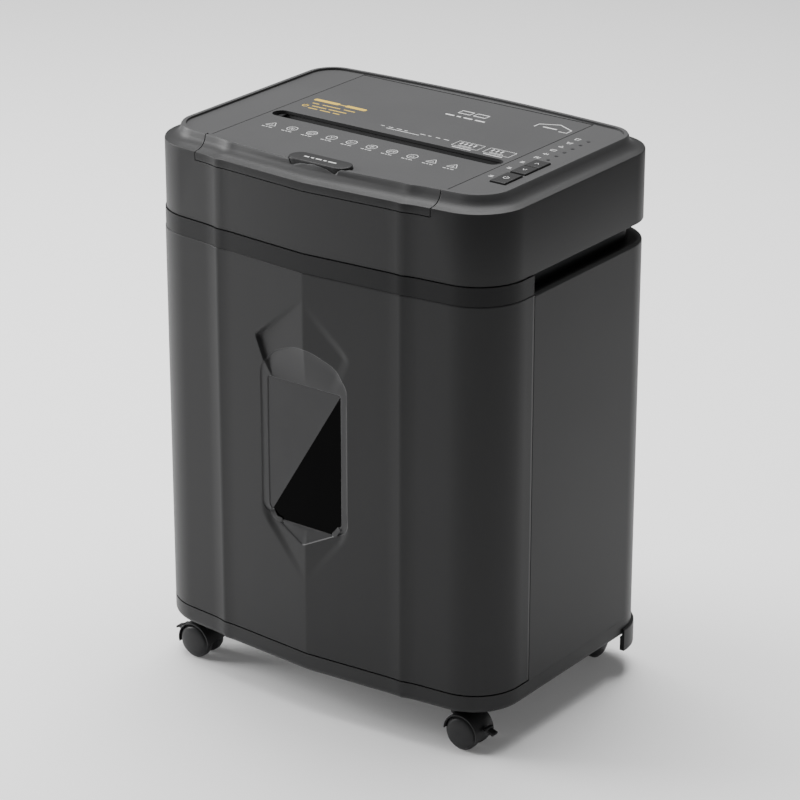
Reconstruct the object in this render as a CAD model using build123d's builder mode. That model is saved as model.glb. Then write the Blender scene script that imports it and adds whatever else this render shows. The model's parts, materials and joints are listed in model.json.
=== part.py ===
"""Automatic-feed paper shredder on casters, with a pull-out bin and a hinged feed lid.

Millimetres, +Z up, +X to the right and -Y to the front. The origin is on the floor, under the
middle of the casing.
"""
from build123d import *
from math import acos, atan2, cos, floor, hypot, pi, radians, sin, tan
import os

os.makedirs("parts", exist_ok=True)

# ---------------------------------------------------------------- overall sizes
width = 366.0
depth = 272.0
height = 498.0
wall = 3.0
seam = 0.8                    # shadow gap between two casing pieces
fit = 0.05                    # radial clearance of a running fit
rattle = 0.4                  # gap round a button or a loose cover

# ---------------------------------------------------------------- plan of the casing
front_corner_r = 47.0
rear_corner_r = 42.0
rear_bow = 8.5                # how far the head's back bulges past the cabinet's
crease_x = 96.5               # creases each side of the central prow
crease_drop = 6.1
crease_hollow = 1.1           # the prow would meet the creases this much deeper if it ran straight
hollow_run = 15.5             # it hollows out over this run before each crease
ramp_run = 16.0               # hollow ramp from each crease down to the flank
ramp_drop = 3.6
flank_drop = 16.5
half = width / 2
front = -depth / 2
rear_wall = depth / 2 - rear_bow
hollow_x = crease_x - hollow_run
prow_slope = (crease_drop + crease_hollow) / crease_x
flank_y = front + crease_drop + ramp_drop
seam_y = front + 73.0         # side seam between the bin front and the side panels

# ---------------------------------------------------------------- heights
caster_height = 39.5
plinth_height = 17.0
band_height = 17.0            # recess between the cabinet and the head
head_wall_height = 61.5       # head, from its lower edge to the shoulder line
shoulder_height = 10.0
rim_height = 1.5
rim_depth = 2.0               # how far the top face lies below the rim
top_z = height - rim_depth
shoulder_top = height - rim_height
shoulder_z = shoulder_top - shoulder_height
head_z = shoulder_z - head_wall_height
cabinet_top = head_z - band_height
plinth_top = caster_height + plinth_height

# ---------------------------------------------------------------- head
head_inset = 1.2              # the head is slightly smaller than the cabinet
head_bow = rear_bow + head_inset
shoulder_run = 14.0
shoulder_edge_r = 1.2
cove_steps = 5
rim_run = 1.0
rim_width = 3.5
roof_z = top_z - wall         # underside of the head's top face
lid_half = 122.0
lid_back = depth / 2 - 24.5
lid_gap = 0.8
bar_height = 8.0              # the lid's front bar hangs this far below the shoulder line
slot_y = -20.7
slot_half = 119.5
slot_width = 16.0
pill_half = 31.0
pill_r = 9.8
pill_y = front + head_inset + shoulder_run + rim_run + 0.5 + pill_r
hinge_y = lid_back - 5.0
hinge_z = roof_z - 0.5
hinge_r = 2.0

# ---------------------------------------------------------------- cutting block
throat_half = 112.0           # clear paper width of the cutters
plate_t = 3.0                 # cutter side plates
plate_x = throat_half + 5.0   # inner face of the side plates
chassis_t = 2.5
cutter_spacing = 33.0
cutter_r = 18.0
cutter_core_r = 8.0
cutter_end_r = 7.0
disc_t = 3.9
disc_pitch = 8.4
cutter_z = head_z + 22.0
roller_r = 11.0
roller_shaft_r = 4.0
roller_y = 28.0
bay_floor_z = head_z + 47.0
roller_z = bay_floor_z + 1.3 - roller_r
bay_half = lid_half - 4.0     # inside half width of the feed bay
bay_front = front + 42.0
bay_back = lid_back - 13.5
bay_t = 3.0
chassis_top = head_z + chassis_t

# ---------------------------------------------------------------- bin
bin_inset = 9.0
bin_wall = 2.5
bin_z = plinth_top + 1.5
bin_top = cabinet_top - 13.0
bin_front = front + 20.0
panel_z = plinth_top + seam

# ---------------------------------------------------------------- window
window_half = 47.0
window_top = 311.0
window_side_low = 182.0
window_point = 158.0
glass_half = 46.0
glass_top = 301.0
glass_low = 170.0
glass_corner = 11.5
window_recess = 12.0
glass_t = 2.5
scoop_apex = 384.5
scoop_foot = 120.0
scoop_half = 53.5
scoop_top_slope = 0.0737
scoop_low_slope = 0.059

# ---------------------------------------------------------------- casters
wheel_r = 15.75
wheel_half = 15.5             # half width over both wheels
caster_trail = 10.0
axle_r = 2.5
stem_r = 4.0
front_stem = (half - 45.5, front + 35.5)
rear_stem = (half - 49.0, rear_wall - 32.0)
skirt_height = 13.0


def save(piece, name):
    """Label a finished piece and write its STEP file."""
    piece.part.label = name
    export_step(piece.part, f"parts/{name}.step")


def casing_plan(z, inset=0.0, bow=0.0):
    """Face of the casing's plan at a height: prow, creases, flanks and round corners."""
    with BuildSketch(Plane.XY.offset(z)) as plan:
        with BuildLine():
            prow = Line((0, front), (hollow_x, front + prow_slope * hollow_x))
            crease = (crease_x, front + crease_drop)
            TangentArc(prow @ 1, crease, tangent=prow % 1)
            flank = Line((half, front + flank_drop), (crease_x + ramp_run, flank_y))
            TangentArc(flank @ 1, crease, tangent=flank % 1)
            Line((half, front + flank_drop), (half, rear_wall))
            mirror(about=Plane.YZ)
            if bow:
                ThreePointArc((half, rear_wall), (0, rear_wall + bow), (-half, rear_wall))
            else:
                Line((half, rear_wall), (-half, rear_wall))
        make_face()
        corners = [v for v in plan.vertices() if abs(abs(v.X) - half) < 0.01]
        fillet([v for v in corners if v.Y < 0], radius=front_corner_r)
        corners = [v for v in plan.vertices() if abs(v.X) > half - 1 and v.Y > rear_wall - 1]
        fillet(corners, radius=rear_corner_r)
        if inset:
            offset(amount=-inset, kind=Kind.INTERSECTION)
    return plan.sketch


def casing_ring(z, inset, thickness, bow=0.0):
    """Face of the casing plan's band between two insets."""
    outer = casing_plan(z, inset, bow)
    inner = casing_plan(z, inset + thickness, bow)
    return outer - inner


def block(x0, x1, y0, y1, z0, z1, mode=Mode.ADD):
    """Box between two corners, in the part being built."""
    with Locations(((x0 + x1) / 2, (y0 + y1) / 2, (z0 + z1) / 2)):
        Box(x1 - x0, y1 - y0, z1 - z0, mode=mode)


def rod(x0, x1, y, z, radius, mode=Mode.ADD):
    """Cylinder along X, in the part being built."""
    with Locations(Location(((x0 + x1) / 2, y, z), (0, 90, 0))):
        Cylinder(radius, x1 - x0, mode=mode)


def post(x, y, z0, z1, radius, mode=Mode.ADD):
    """Upright cylinder, in the part being built."""
    with Locations((x, y, (z0 + z1) / 2)):
        Cylinder(radius, z1 - z0, mode=mode)


def keep(x0, x1, y0, y1, z0, z1):
    """Keep only what lies between two corners of the part being built."""
    block(x0, x1, y0, y1, z0, z1, mode=Mode.INTERSECT)


far = width + depth + height  # longer than the object, for cuts that run right through

# ================================================================ cabinet

with BuildPart() as base_plinth:
    extrude(casing_plan(caster_height), amount=plinth_height)
    fillet(base_plinth.edges().group_by(Axis.Z)[0], radius=6.0)
    extrude(casing_plan(caster_height, inset=10.0), amount=plinth_height - wall, mode=Mode.SUBTRACT)
    for x, y in (front_stem, rear_stem):
        for side in (-1, 1):
            post(side * x, y, caster_height, plinth_top - wall, 11.0)
            post(side * x, y, caster_height, plinth_top - wall - 1, stem_r, mode=Mode.SUBTRACT)
    # screw flange for the back panel
    block(-half + 60, half - 60, rear_wall - 2 * wall, rear_wall - wall, plinth_top, plinth_top + 12)
    for x in (-80, 0, 80):
        with Locations(Location((x, rear_wall - 1.5 * wall, plinth_top + 6), (90, 0, 0))):
            Cylinder(1.75, 4 * wall, mode=Mode.SUBTRACT)
save(base_plinth, "base_plinth")

with BuildPart() as rear_skirts:
    extrude(casing_ring(caster_height - skirt_height, -2.5, 4.5), amount=skirt_height + 8)
    fillet(rear_skirts.edges().group_by(Axis.Z)[-1].filter_by(lambda e: e.length > 20), radius=1.5)
    extrude(casing_plan(caster_height), amount=plinth_height, mode=Mode.SUBTRACT)
    keep(-far, far, rear_wall - 44, far, 0, far)
    block(-half + 45, half - 45, 0, far, 0, far, mode=Mode.SUBTRACT)
save(rear_skirts, "rear_foot_skirts")


def cabinet_shell():
    """Cabinet walls behind the side seam, with a flange round their top."""
    extrude(casing_plan(plinth_top), amount=cabinet_top - plinth_top)
    fillet(edges().group_by(Axis.Z)[-1], radius=2.8)
    inner = casing_plan(plinth_top, inset=wall)
    extrude(inner, amount=cabinet_top - plinth_top - wall, mode=Mode.SUBTRACT)
    extrude(casing_plan(plinth_top, inset=12.0), amount=far, mode=Mode.SUBTRACT)


panel_split = half - rear_corner_r - 3.0
for name, side in (("left_side_panel", -1), ("right_side_panel", 1)):
    with BuildPart() as side_panel:
        cabinet_shell()
        x_low, x_high = sorted((side * panel_split, side * far))
        keep(x_low, x_high, seam_y + seam, far, 0, far)
    save(side_panel, name)

with BuildPart() as back_panel:
    cabinet_shell()
    keep(-panel_split, panel_split, 0, far, 0, far)
    for x in (-80, 0, 80):
        for z in (plinth_top + 6, cabinet_top - 12):
            with Locations(Location((x, rear_wall, z), (90, 0, 0))):
                Cylinder(1.75, 4 * wall, mode=Mode.SUBTRACT)
save(back_panel, "back_panel")

deck_z = cabinet_top - wall
deck_front = front + 26.0
with BuildPart() as cabinet_top_frame:
    extrude(casing_plan(deck_z, inset=12.0), amount=wall)
    extrude(casing_ring(cabinet_top, 13.5, wall), amount=band_height)
    keep(-far, far, deck_front, far, 0, far)
    block(-half + 30, half - 30, deck_front, deck_front + wall, cabinet_top, head_z)
    block(-throat_half - 8, throat_half + 8, slot_y - 55, slot_y + 55, 0, far, mode=Mode.SUBTRACT)
    block(-half + 60, half - 60, rear_wall - 2 * wall, rear_wall - wall, cabinet_top - 20, deck_z)
    block(-half + 60, half - 60, rear_wall - 12.5, rear_wall - wall, deck_z - wall, deck_z)
    for x in (-80, 0, 80):
        with Locations(Location((x, rear_wall - 1.5 * wall, cabinet_top - 12), (90, 0, 0))):
            Cylinder(1.75, 4 * wall, mode=Mode.SUBTRACT)
save(cabinet_top_frame, "cabinet_top_frame")

with BuildPart() as cabinet_screws:
    for x in (-80, 0, 80):
        for z in (plinth_top + 6, cabinet_top - 12):
            with Locations(Location((x, rear_wall - 2 * wall + 4, z), (90, 0, 0))):
                Cylinder(1.75, 8.0)
            with Locations(Location((x, rear_wall + 1.0, z), (90, 0, 0))):
                Cylinder(3.5, 2.0)
save(cabinet_screws, "cabinet_screws")

with BuildPart() as bin_switch:
    block(50, 70, deck_front + 4, deck_front + 13, deck_z - 8, deck_z)
    block(54, 58, deck_front + 1, deck_front + 4, deck_z - 6, deck_z - 3)
save(bin_switch, "bin_switch")

# ================================================================ bin

with BuildPart() as bin_tub:
    extrude(casing_plan(bin_z, inset=bin_inset), amount=bin_top - bin_z)
    extrude(casing_plan(bin_z + wall, inset=bin_inset + bin_wall), amount=far, mode=Mode.SUBTRACT)
    keep(-far, far, bin_front, far, 0, far)
    # front wall, open behind the window
    block(-half + 58, half - 58, bin_front, bin_front + bin_wall, bin_z, bin_top)
    block(-window_half, window_half, bin_front, bin_front + bin_wall, window_point, window_top,
          mode=Mode.SUBTRACT)
save(bin_tub, "bin_tub")

glass_y = front + window_recess
with BuildSketch(Plane.XZ.offset(-(front - 1.0))) as window_mouth:
    with BuildLine():
        Polyline(
            (-window_half, window_top),
            (window_half, window_top),
            (window_half, window_side_low),
            (glass_half - glass_corner, window_point + (window_side_low - window_point)
             * (glass_half - glass_corner) / window_half),
            (0, window_point),
            (-(glass_half - glass_corner), window_point + (window_side_low - window_point)
             * (glass_half - glass_corner) / window_half),
            (-window_half, window_side_low),
            close=True,
        )
    make_face()
with BuildSketch(Plane.XZ.offset(-glass_y)) as window_foot:
    with BuildLine():
        Polyline(
            (-glass_half, glass_top),
            (glass_half, glass_top),
            (glass_half, glass_low + glass_corner),
            (glass_half - glass_corner, glass_low),
            (0, glass_low),
            (-(glass_half - glass_corner), glass_low),
            (-glass_half, glass_low + glass_corner),
            close=True,
        )
    make_face()
funnel = loft([window_mouth.sketch.face(), window_foot.sketch.face()], ruled=True, mode=Mode.PRIVATE)


def scoop(z_end, z_window, slope):
    """Wedge that dishes the prow between a point on its ridge and the window."""
    with BuildPart() as wedge:
        with BuildSketch(Plane.YZ):
            with BuildLine():
                Polyline(
                    (front - 10, z_end),
                    (front, z_end),
                    (front + slope * abs(z_end - z_window), z_window),
                    (front - 10, z_window),
                    close=True,
                )
            make_face()
        extrude(amount=scoop_half, both=True)
    return wedge.part


upper_scoop = scoop(scoop_apex, window_top - 12, scoop_top_slope)
lower_scoop = scoop(scoop_foot, window_side_low, scoop_low_slope)

with BuildPart() as bin_front_panel:
    extrude(casing_plan(panel_z), amount=cabinet_top - panel_z)
    extrude(casing_plan(panel_z + wall, inset=wall), amount=cabinet_top - panel_z - 2 * wall,
            mode=Mode.SUBTRACT)
    extrude(casing_plan(panel_z, inset=bin_inset - 1), amount=far, mode=Mode.SUBTRACT)
    keep(-far, far, front, seam_y, 0, far)
    # housing of the window, from the outer skin back to the tub
    with BuildPart(mode=Mode.PRIVATE) as backing:
        extrude(casing_plan(window_point - 6, inset=1.0), amount=window_top - window_point + 12)
        keep(-window_half - 8, window_half + 8, front, bin_front, 0, far)
    add(backing.part)
    # thicker skin behind the two scoops
    with BuildPart(mode=Mode.PRIVATE) as backing:
        extrude(casing_ring(scoop_foot - 4, 1.0, 8.0), amount=scoop_apex - scoop_foot + 8)
        keep(-scoop_half, scoop_half, front, 0, 0, far)
    add(backing.part)
    add(upper_scoop, mode=Mode.SUBTRACT)
    add(lower_scoop, mode=Mode.SUBTRACT)
    add(funnel, mode=Mode.SUBTRACT)
    block(-glass_half - 2, glass_half + 2, glass_y, glass_y + glass_t, glass_low - 2, glass_top + 2,
          mode=Mode.SUBTRACT)
    block(-glass_half + 3, glass_half - 3, glass_y, bin_front, glass_low + 3, glass_top - 3,
          mode=Mode.SUBTRACT)
save(bin_front_panel, "bin_front_panel")

with BuildPart() as bin_window:
    block(-glass_half - 2, glass_half + 2, glass_y, glass_y + glass_t, glass_low - 2, glass_top + 2)
save(bin_window, "bin_window")

with BuildPart() as bin_handle_strip:
    extrude(casing_ring(cabinet_top, 0.4, 4.0), amount=band_height - seam)
    keep(-far, far, front, seam_y, 0, far)
save(bin_handle_strip, "bin_handle_strip")

# ================================================================ head casing

bar_z = shoulder_z - bar_height
roof_inset = head_inset + shoulder_run + rim_run


def head_block():
    """Solid head: upright walls, coved shoulder, and the rim round the top face."""
    wall_top = head_wall_height - shoulder_edge_r
    extrude(casing_plan(head_z, head_inset, head_bow), amount=wall_top)
    # rounded edge, hollow cove, then the outside of the rim: height and inset of each level
    edge_mid = shoulder_edge_r * (1 - cos(pi / 4))
    profile = [(shoulder_z - shoulder_edge_r, 0.0), (shoulder_z - edge_mid, edge_mid)]
    for step in range(cove_steps + 1):
        turn = pi / 2 * step / cove_steps
        rise = shoulder_height * (1 - cos(turn))
        profile.append((shoulder_z + rise, shoulder_edge_r + (shoulder_run - shoulder_edge_r) * sin(turn)))
    profile.append((height, shoulder_run + rim_run))
    levels = [casing_plan(z, head_inset + inset, head_bow).face() for z, inset in profile]
    for low, high in zip(levels, levels[1:]):
        loft([low, high], ruled=True)


def head_hollow():
    """Cut the room inside the head, leaving the walls, the shoulder and the roof."""
    inner = casing_plan(head_z, head_inset + wall, head_bow)
    extrude(inner, amount=head_wall_height - wall, mode=Mode.SUBTRACT)
    inner = casing_plan(head_z, roof_inset + wall, head_bow)
    extrude(inner, amount=roof_z - head_z, mode=Mode.SUBTRACT)


button_x = 146.0
button_w = 15.0
buttons = {                   # middle and length along Y
    "power_button": (-52.2, 25.5),
    "reverse_button": (-26.4, 18.7),
    "forward_button": (-7.5, 17.0),
}
led_x = 145.0
led_y0 = 9.5
led_pitch = 12.0
led_count = 6
led_r = 1.6
socket_half = 27.0            # recessed service panel in the back wall
socket_x = 122.0
socket_z = head_z + 20.0
socket_plate_y = rear_wall - 8.0
rocker_x = socket_x - 12.0
gland_x = socket_x + 13.0
gland_r = 5.0
boss_x = lid_half + 1.2       # hinge bosses beside the lid

with BuildPart() as head_housing:
    head_block()
    head_hollow()
    # recessed top face inside the rim
    extrude(casing_plan(top_z, roof_inset + rim_width, head_bow), amount=far, mode=Mode.SUBTRACT)
    # service panel let into the back wall
    block(socket_x - socket_half - 3, socket_x + socket_half + 3, socket_plate_y - 3, rear_wall,
          socket_z - 17, socket_z + 17)
    block(socket_x - socket_half, socket_x + socket_half, socket_plate_y, far,
          socket_z - 14, socket_z + 14, mode=Mode.SUBTRACT)
    block(rocker_x - 7.5, rocker_x + 7.5, socket_plate_y - 3, socket_plate_y,
          socket_z - 10.5, socket_z + 10.5, mode=Mode.SUBTRACT)
    with Locations(Location((gland_x, socket_plate_y, socket_z), (90, 0, 0))):
        Cylinder(gland_r, 10, mode=Mode.SUBTRACT)
    # hinge bosses
    for side in (-1, 1):
        x_low, x_high = sorted((side * boss_x, side * (boss_x + 8)))
        block(x_low, x_high, hinge_y - 6, hinge_y + 6, roof_z - 7, roof_z)
    # opening for the lid, its front bar and its hinge
    block(-lid_half - lid_gap, lid_half + lid_gap, bay_front, lid_back + lid_gap, roof_z - 1, far,
          mode=Mode.SUBTRACT)
    block(-lid_half - lid_gap, lid_half + lid_gap, -far, bay_front, bar_z, far, mode=Mode.SUBTRACT)
    rod(-boss_x - 6, boss_x + 6, hinge_y, hinge_z, hinge_r + fit, mode=Mode.SUBTRACT)
    # control strip
    for y, length in buttons.values():
        block(button_x - button_w / 2 - rattle, button_x + button_w / 2 + rattle,
              y - length / 2 - rattle, y + length / 2 + rattle, roof_z - 1, far, mode=Mode.SUBTRACT)
    for index in range(led_count):
        post(led_x, led_y0 + index * led_pitch, roof_z - 1, top_z + 1, led_r, mode=Mode.SUBTRACT)
    # air slots in the back wall
    for index in range(9):
        block(-104 + index * 11, -98 + index * 11, rear_wall - 10, far, head_z + 14, head_z + 44,
              mode=Mode.SUBTRACT)
save(head_housing, "head_housing")

with BuildPart() as chassis_plate:
    extrude(casing_plan(head_z, head_inset + wall, head_bow), amount=chassis_t)
    block(-plate_x + 3, plate_x - 3, slot_y - 40, slot_y + 40, 0, far, mode=Mode.SUBTRACT)
save(chassis_plate, "chassis_plate")

ramp_run_y = 24.0
with BuildPart() as feed_bay:
    block(-bay_half - bay_t, bay_half + bay_t, bay_front, bay_back, bay_floor_z - 2, roof_z)
    with BuildSketch(Plane.YZ) as bay_profile:
        with BuildLine():
            Polyline(
                (bay_front + bay_t, roof_z + 1),
                (bay_front + bay_t, bay_floor_z + 12),
                (bay_front + bay_t + 1.4 * ramp_run_y, bay_floor_z),
                (bay_back - 2 * ramp_run_y - bay_t - 4, bay_floor_z),
                (bay_back - ramp_run_y - bay_t - 8, bay_floor_z + 12),
                (bay_back - bay_t, bay_floor_z + 12),
                (bay_back - bay_t, roof_z + 1),
                close=True,
            )
        make_face()
    extrude(bay_profile.sketch, amount=bay_half, both=True, mode=Mode.SUBTRACT)
    # room for the motor under the raised back
    block(-far, far, bay_back - 2 * ramp_run_y - 5, far, 0, bay_floor_z + 9.5, mode=Mode.SUBTRACT)
    # flange up against the roof, at both sides
    for side in (-1, 1):
        x_low, x_high = sorted((side * (bay_half + bay_t), side * (lid_half + 6)))
        block(x_low, x_high, bay_front + 6, bay_back, roof_z - wall, roof_z)
        x_low, x_high = sorted((side * (bay_half - 13), side * bay_half))
        block(x_low, x_high, bay_back - bay_t, bay_back, roof_z - 5, roof_z, mode=Mode.SUBTRACT)
    # throat over the cutters, and windows for the feed tyres
    block(-throat_half, throat_half, slot_y - 4, slot_y + 4, 0, far, mode=Mode.SUBTRACT)
    for x in (-78, -26, 26, 78):
        block(x - 13, x + 13, roller_y - 10.5, roller_y + 10.5, 0, far, mode=Mode.SUBTRACT)
save(feed_bay, "feed_bay")

# ================================================================ lid

pill_hole_r = pill_r + rattle
bar_back = roof_inset + 0.3
with BuildPart() as lid_panel:
    extrude(casing_plan(roof_z, bar_back + seam / 2, head_bow), amount=wall)
    keep(-lid_half, lid_half, -far, lid_back, 0, far)
    fillet(lid_panel.edges().filter_by(Axis.X).sort_by(Axis.Y)[-1], radius=1.2)
    # raised lip along the front seam
    with BuildPart(mode=Mode.PRIVATE) as front_lip:
        extrude(casing_ring(top_z, bar_back + seam / 2, 5.0, head_bow), amount=1.2)
        keep(-lid_half, lid_half, -far, front + 45, 0, far)
    add(front_lip.part)
    with BuildSketch(Plane.XY.offset(roof_z)):
        with Locations((0, slot_y)):
            SlotOverall(2 * slot_half, slot_width)
        with Locations((0, pill_y)):
            SlotOverall(2 * pill_half + 2 * rattle, 2 * pill_hole_r)
    extrude(amount=far, mode=Mode.SUBTRACT)
    rod(-lid_half, lid_half, hinge_y, hinge_z, hinge_r, mode=Mode.SUBTRACT)
save(lid_panel, "lid_panel")

with BuildPart() as lid_front_bar:
    head_block()
    head_hollow()
    extrude(casing_plan(head_z, bar_back, head_bow), amount=far, mode=Mode.SUBTRACT)
    keep(-lid_half, lid_half, -far, 0, bar_z + seam, far)
    # tongues that reach back under the lid panel
    for side in (-1, 1):
        x_low, x_high = sorted((side * (pill_half + 12), side * (lid_half - 16)))
        with BuildPart(mode=Mode.PRIVATE) as tongue:
            extrude(casing_ring(roof_z - 3, bar_back - 1, 10.0, head_bow), amount=3)
            keep(x_low, x_high, -far, front + bar_back + 10, 0, far)
        add(tongue.part)
    with BuildSketch(Plane.XY.offset(roof_z - wall)):
        with Locations((0, pill_y)):
            SlotOverall(2 * pill_half + 2 * rattle, 2 * pill_hole_r)
    extrude(amount=far, mode=Mode.SUBTRACT)
save(lid_front_bar, "lid_front_bar")

funnel_half = 9.0
mouth_half = 2.5
liner_front = bay_front + 6.0
liner_back = bay_back - 5.0
liner_half = bay_half - 1.5
throat_foot = bay_floor_z + 3.0
guide_r = 3.5
with BuildPart() as lid_liner:
    block(-liner_half, liner_half, liner_front, liner_back, roof_z - wall, roof_z)
    block(-liner_half, liner_half, slot_y - funnel_half - 2, slot_y + funnel_half + 2,
          throat_foot, roof_z)
    with BuildSketch(Plane.YZ):
        with BuildLine():
            Polyline(
                (slot_y - funnel_half, roof_z),
                (slot_y - mouth_half, throat_foot + 6),
                (slot_y - mouth_half, throat_foot),
                (slot_y + mouth_half, throat_foot),
                (slot_y + mouth_half, throat_foot + 6),
                (slot_y + funnel_half, roof_z),
                close=True,
            )
        make_face()
    extrude(amount=throat_half, both=True, mode=Mode.SUBTRACT)
    # ribs along both sides
    for side in (-1, 1):
        x_low, x_high = sorted((side * (liner_half - 2), side * liner_half))
        block(x_low, x_high, liner_front, liner_back, roof_z - 7, roof_z - wall)
        # knuckle that holds a hinge pin
        x_low, x_high = sorted((side * (liner_half - 10), side * liner_half))
        block(x_low, x_high, liner_back, hinge_y + 3, roof_z - 4, roof_z)
    # guides of the presser plate
    for x in (-60, 60):
        post(x, roller_y, roof_z - 8, roof_z, guide_r + 2)
        post(x, roller_y, roof_z - 8, roof_z, guide_r, mode=Mode.SUBTRACT)
    rod(-boss_x, boss_x, hinge_y, hinge_z, hinge_r, mode=Mode.SUBTRACT)
save(lid_liner, "lid_liner")

with BuildPart() as hinge_pins:
    for side in (-1, 1):
        x_low, x_high = sorted((side * (liner_half - 8), side * (boss_x + 5)))
        rod(x_low, x_high, hinge_y, hinge_z, hinge_r)
save(hinge_pins, "lid_hinge_pins")

presser_z = bay_floor_z + 2.0
with BuildPart() as presser_plate:
    block(-92, 92, roller_y - 17, roller_y + 18, presser_z, presser_z + 2)
    for x in (-60, 60):
        post(x, roller_y, presser_z + 2, roof_z - 5.5, guide_r - rattle)
save(presser_plate, "presser_plate")

with BuildPart() as release_button:
    with BuildSketch(Plane.XY.offset(roof_z - 0.5)) as pill:
        with Locations((0, pill_y)):
            SlotOverall(2 * pill_half, 2 * pill_r)
    extrude(amount=height + 1.2 - roof_z + 0.5)
    fillet(release_button.edges().group_by(Axis.Z)[-1], radius=1.0)
    block(-pill_half - 4, pill_half + 4, pill_y - 6, pill_y + 6, roof_z - 2.5, roof_z - 0.5)
    for side in (-1, 1):
        post(side * 20, pill_y, roof_z - 9, roof_z - 2.5, 2.5)
save(release_button, "release_button")

# ================================================================ controls

for name, (y, length) in buttons.items():
    with BuildPart() as button:
        block(button_x - button_w / 2, button_x + button_w / 2, y - length / 2, y + length / 2,
              roof_z - 1, top_z + 1.6)
        fillet(button.edges().group_by(Axis.Z)[-1], radius=0.8)
        block(button_x - button_w / 2 - 1.5, button_x + button_w / 2 + 1.5, y - length / 2, y + length / 2,
              roof_z - 2.6, roof_z - 1.4)
        block(button_x - button_w / 2, button_x + button_w / 2, y - length / 2, y + length / 2,
              roof_z - 1.4, roof_z - 1)
    save(button, name)

board_z = roof_z - 12.0
with BuildPart() as control_board:
    block(led_x - 12, led_x + 14, -70, 78, board_z, board_z + 1.6)
    for y, length in buttons.values():
        block(button_x - 3, button_x + 3, y - 3, y + 3, board_z + 1.6, roof_z - 4.4)
    # posts that hang the board from the roof
    for y in (-68, 76):
        post(led_x + 11, y, board_z + 1.6, roof_z, 2.0)
save(control_board, "control_board")

with BuildPart() as led_lenses:
    for index in range(led_count):
        post(led_x, led_y0 + index * led_pitch, board_z + 1.6, top_z + 0.3, led_r)
save(led_lenses, "led_lenses")

rocker_r = 9.0
with BuildPart() as rocker_frame:
    block(rocker_x - 9, rocker_x + 9, socket_plate_y, socket_plate_y + 1.2, socket_z - 12, socket_z + 12)
    block(rocker_x - 7.5, rocker_x + 7.5, socket_plate_y - 12, socket_plate_y,
          socket_z - 10.5, socket_z + 10.5)
    block(rocker_x - 6, rocker_x + 6, socket_plate_y - 10.5, far, socket_z - 9.5, socket_z + 9.5,
          mode=Mode.SUBTRACT)
    rod(rocker_x - 7.5, rocker_x + 7.5, socket_plate_y - 3, socket_z, 1.5 + fit, mode=Mode.SUBTRACT)
save(rocker_frame, "rocker_frame")

with BuildPart() as power_rocker:
    with BuildSketch(Plane.YZ.offset(rocker_x - 5.6)):
        with BuildLine():
            Polyline(
                (socket_plate_y - 6, socket_z - 4),
                (socket_plate_y - 1.5, socket_z - 8.6),
                (socket_plate_y + 3.4, socket_z - 8.2),
                (socket_plate_y + 1.6, socket_z),
                (socket_plate_y + 3.4, socket_z + 8.2),
                (socket_plate_y - 1.5, socket_z + 8.6),
                (socket_plate_y - 6, socket_z + 4),
                close=True,
            )
        make_face()
    extrude(amount=11.2)
    rod(rocker_x - 7.3, rocker_x + 7.3, socket_plate_y - 3, socket_z, 1.5)
save(power_rocker, "power_rocker")

with BuildPart() as cord_gland:
    with Locations(Location((gland_x, socket_plate_y + 2, socket_z), (90, 0, 0))):
        Cylinder(8.0, 4.0)
    with Locations(Location((gland_x, socket_plate_y - 4, socket_z), (90, 0, 0))):
        Cylinder(gland_r, 8.0)
    with Locations(Location((gland_x, socket_plate_y - 2, socket_z), (90, 0, 0))):
        Cylinder(3.4, 30.0, mode=Mode.SUBTRACT)
save(cord_gland, "cord_gland")

# ================================================================ cutting block

front_cutter_y = slot_y - cutter_spacing / 2
rear_cutter_y = slot_y + cutter_spacing / 2
plate_front = front_cutter_y - cutter_r - 13
plate_back = bay_back + 2
plate_top = bay_floor_z - 5
gear_t = 6.0                  # face width of the slim gears
gear_gap = 1.0                # between neighbouring gear planes

# gear trains: teeth and modules, and the bearing from each gear to the one it drives
cutter_teeth = 22
cutter_module = cutter_spacing / cutter_teeth
main_teeth = 36
small_teeth = 14
first_teeth = 48
second_teeth = 44
train_module = 1.0
first_bearing = radians(25)
second_bearing = radians(-12)
motor_bearing = radians(5)
feed_teeth = 18


def along(start, bearing, distance):
    """Point at a distance from another, in the plane of the gears."""
    return (start[0] + distance * cos(bearing), start[1] + distance * sin(bearing))


def reach(teeth_a, teeth_b):
    """Centre distance of two meshed train gears."""
    return train_module * (teeth_a + teeth_b) / 2


rear_axis = (rear_cutter_y, cutter_z)
front_axis = (front_cutter_y, cutter_z)
first_axis = along(rear_axis, first_bearing, reach(main_teeth, small_teeth))
second_axis = along(first_axis, second_bearing, reach(first_teeth, small_teeth))
motor_axis = along(second_axis, motor_bearing, reach(second_teeth, small_teeth))
roller_axis = (roller_y, roller_z)
feed_span = hypot(roller_y - rear_cutter_y, roller_z - cutter_z)
feed_bearing = atan2(roller_z - cutter_z, roller_y - rear_cutter_y)
feed_module = 1.01 * feed_span / (2 * feed_teeth)
feed_rise = acos(feed_span / (2 * feed_module * feed_teeth))
idler_axis = along(rear_axis, feed_bearing + feed_rise, feed_module * feed_teeth)


def tooth_angle(angle, teeth, mate_teeth, bearing):
    """Angle of a tooth on the mating gear, for a gear with a tooth at the given angle."""
    return bearing + pi - (angle - bearing) * teeth / mate_teeth + pi / mate_teeth


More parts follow.
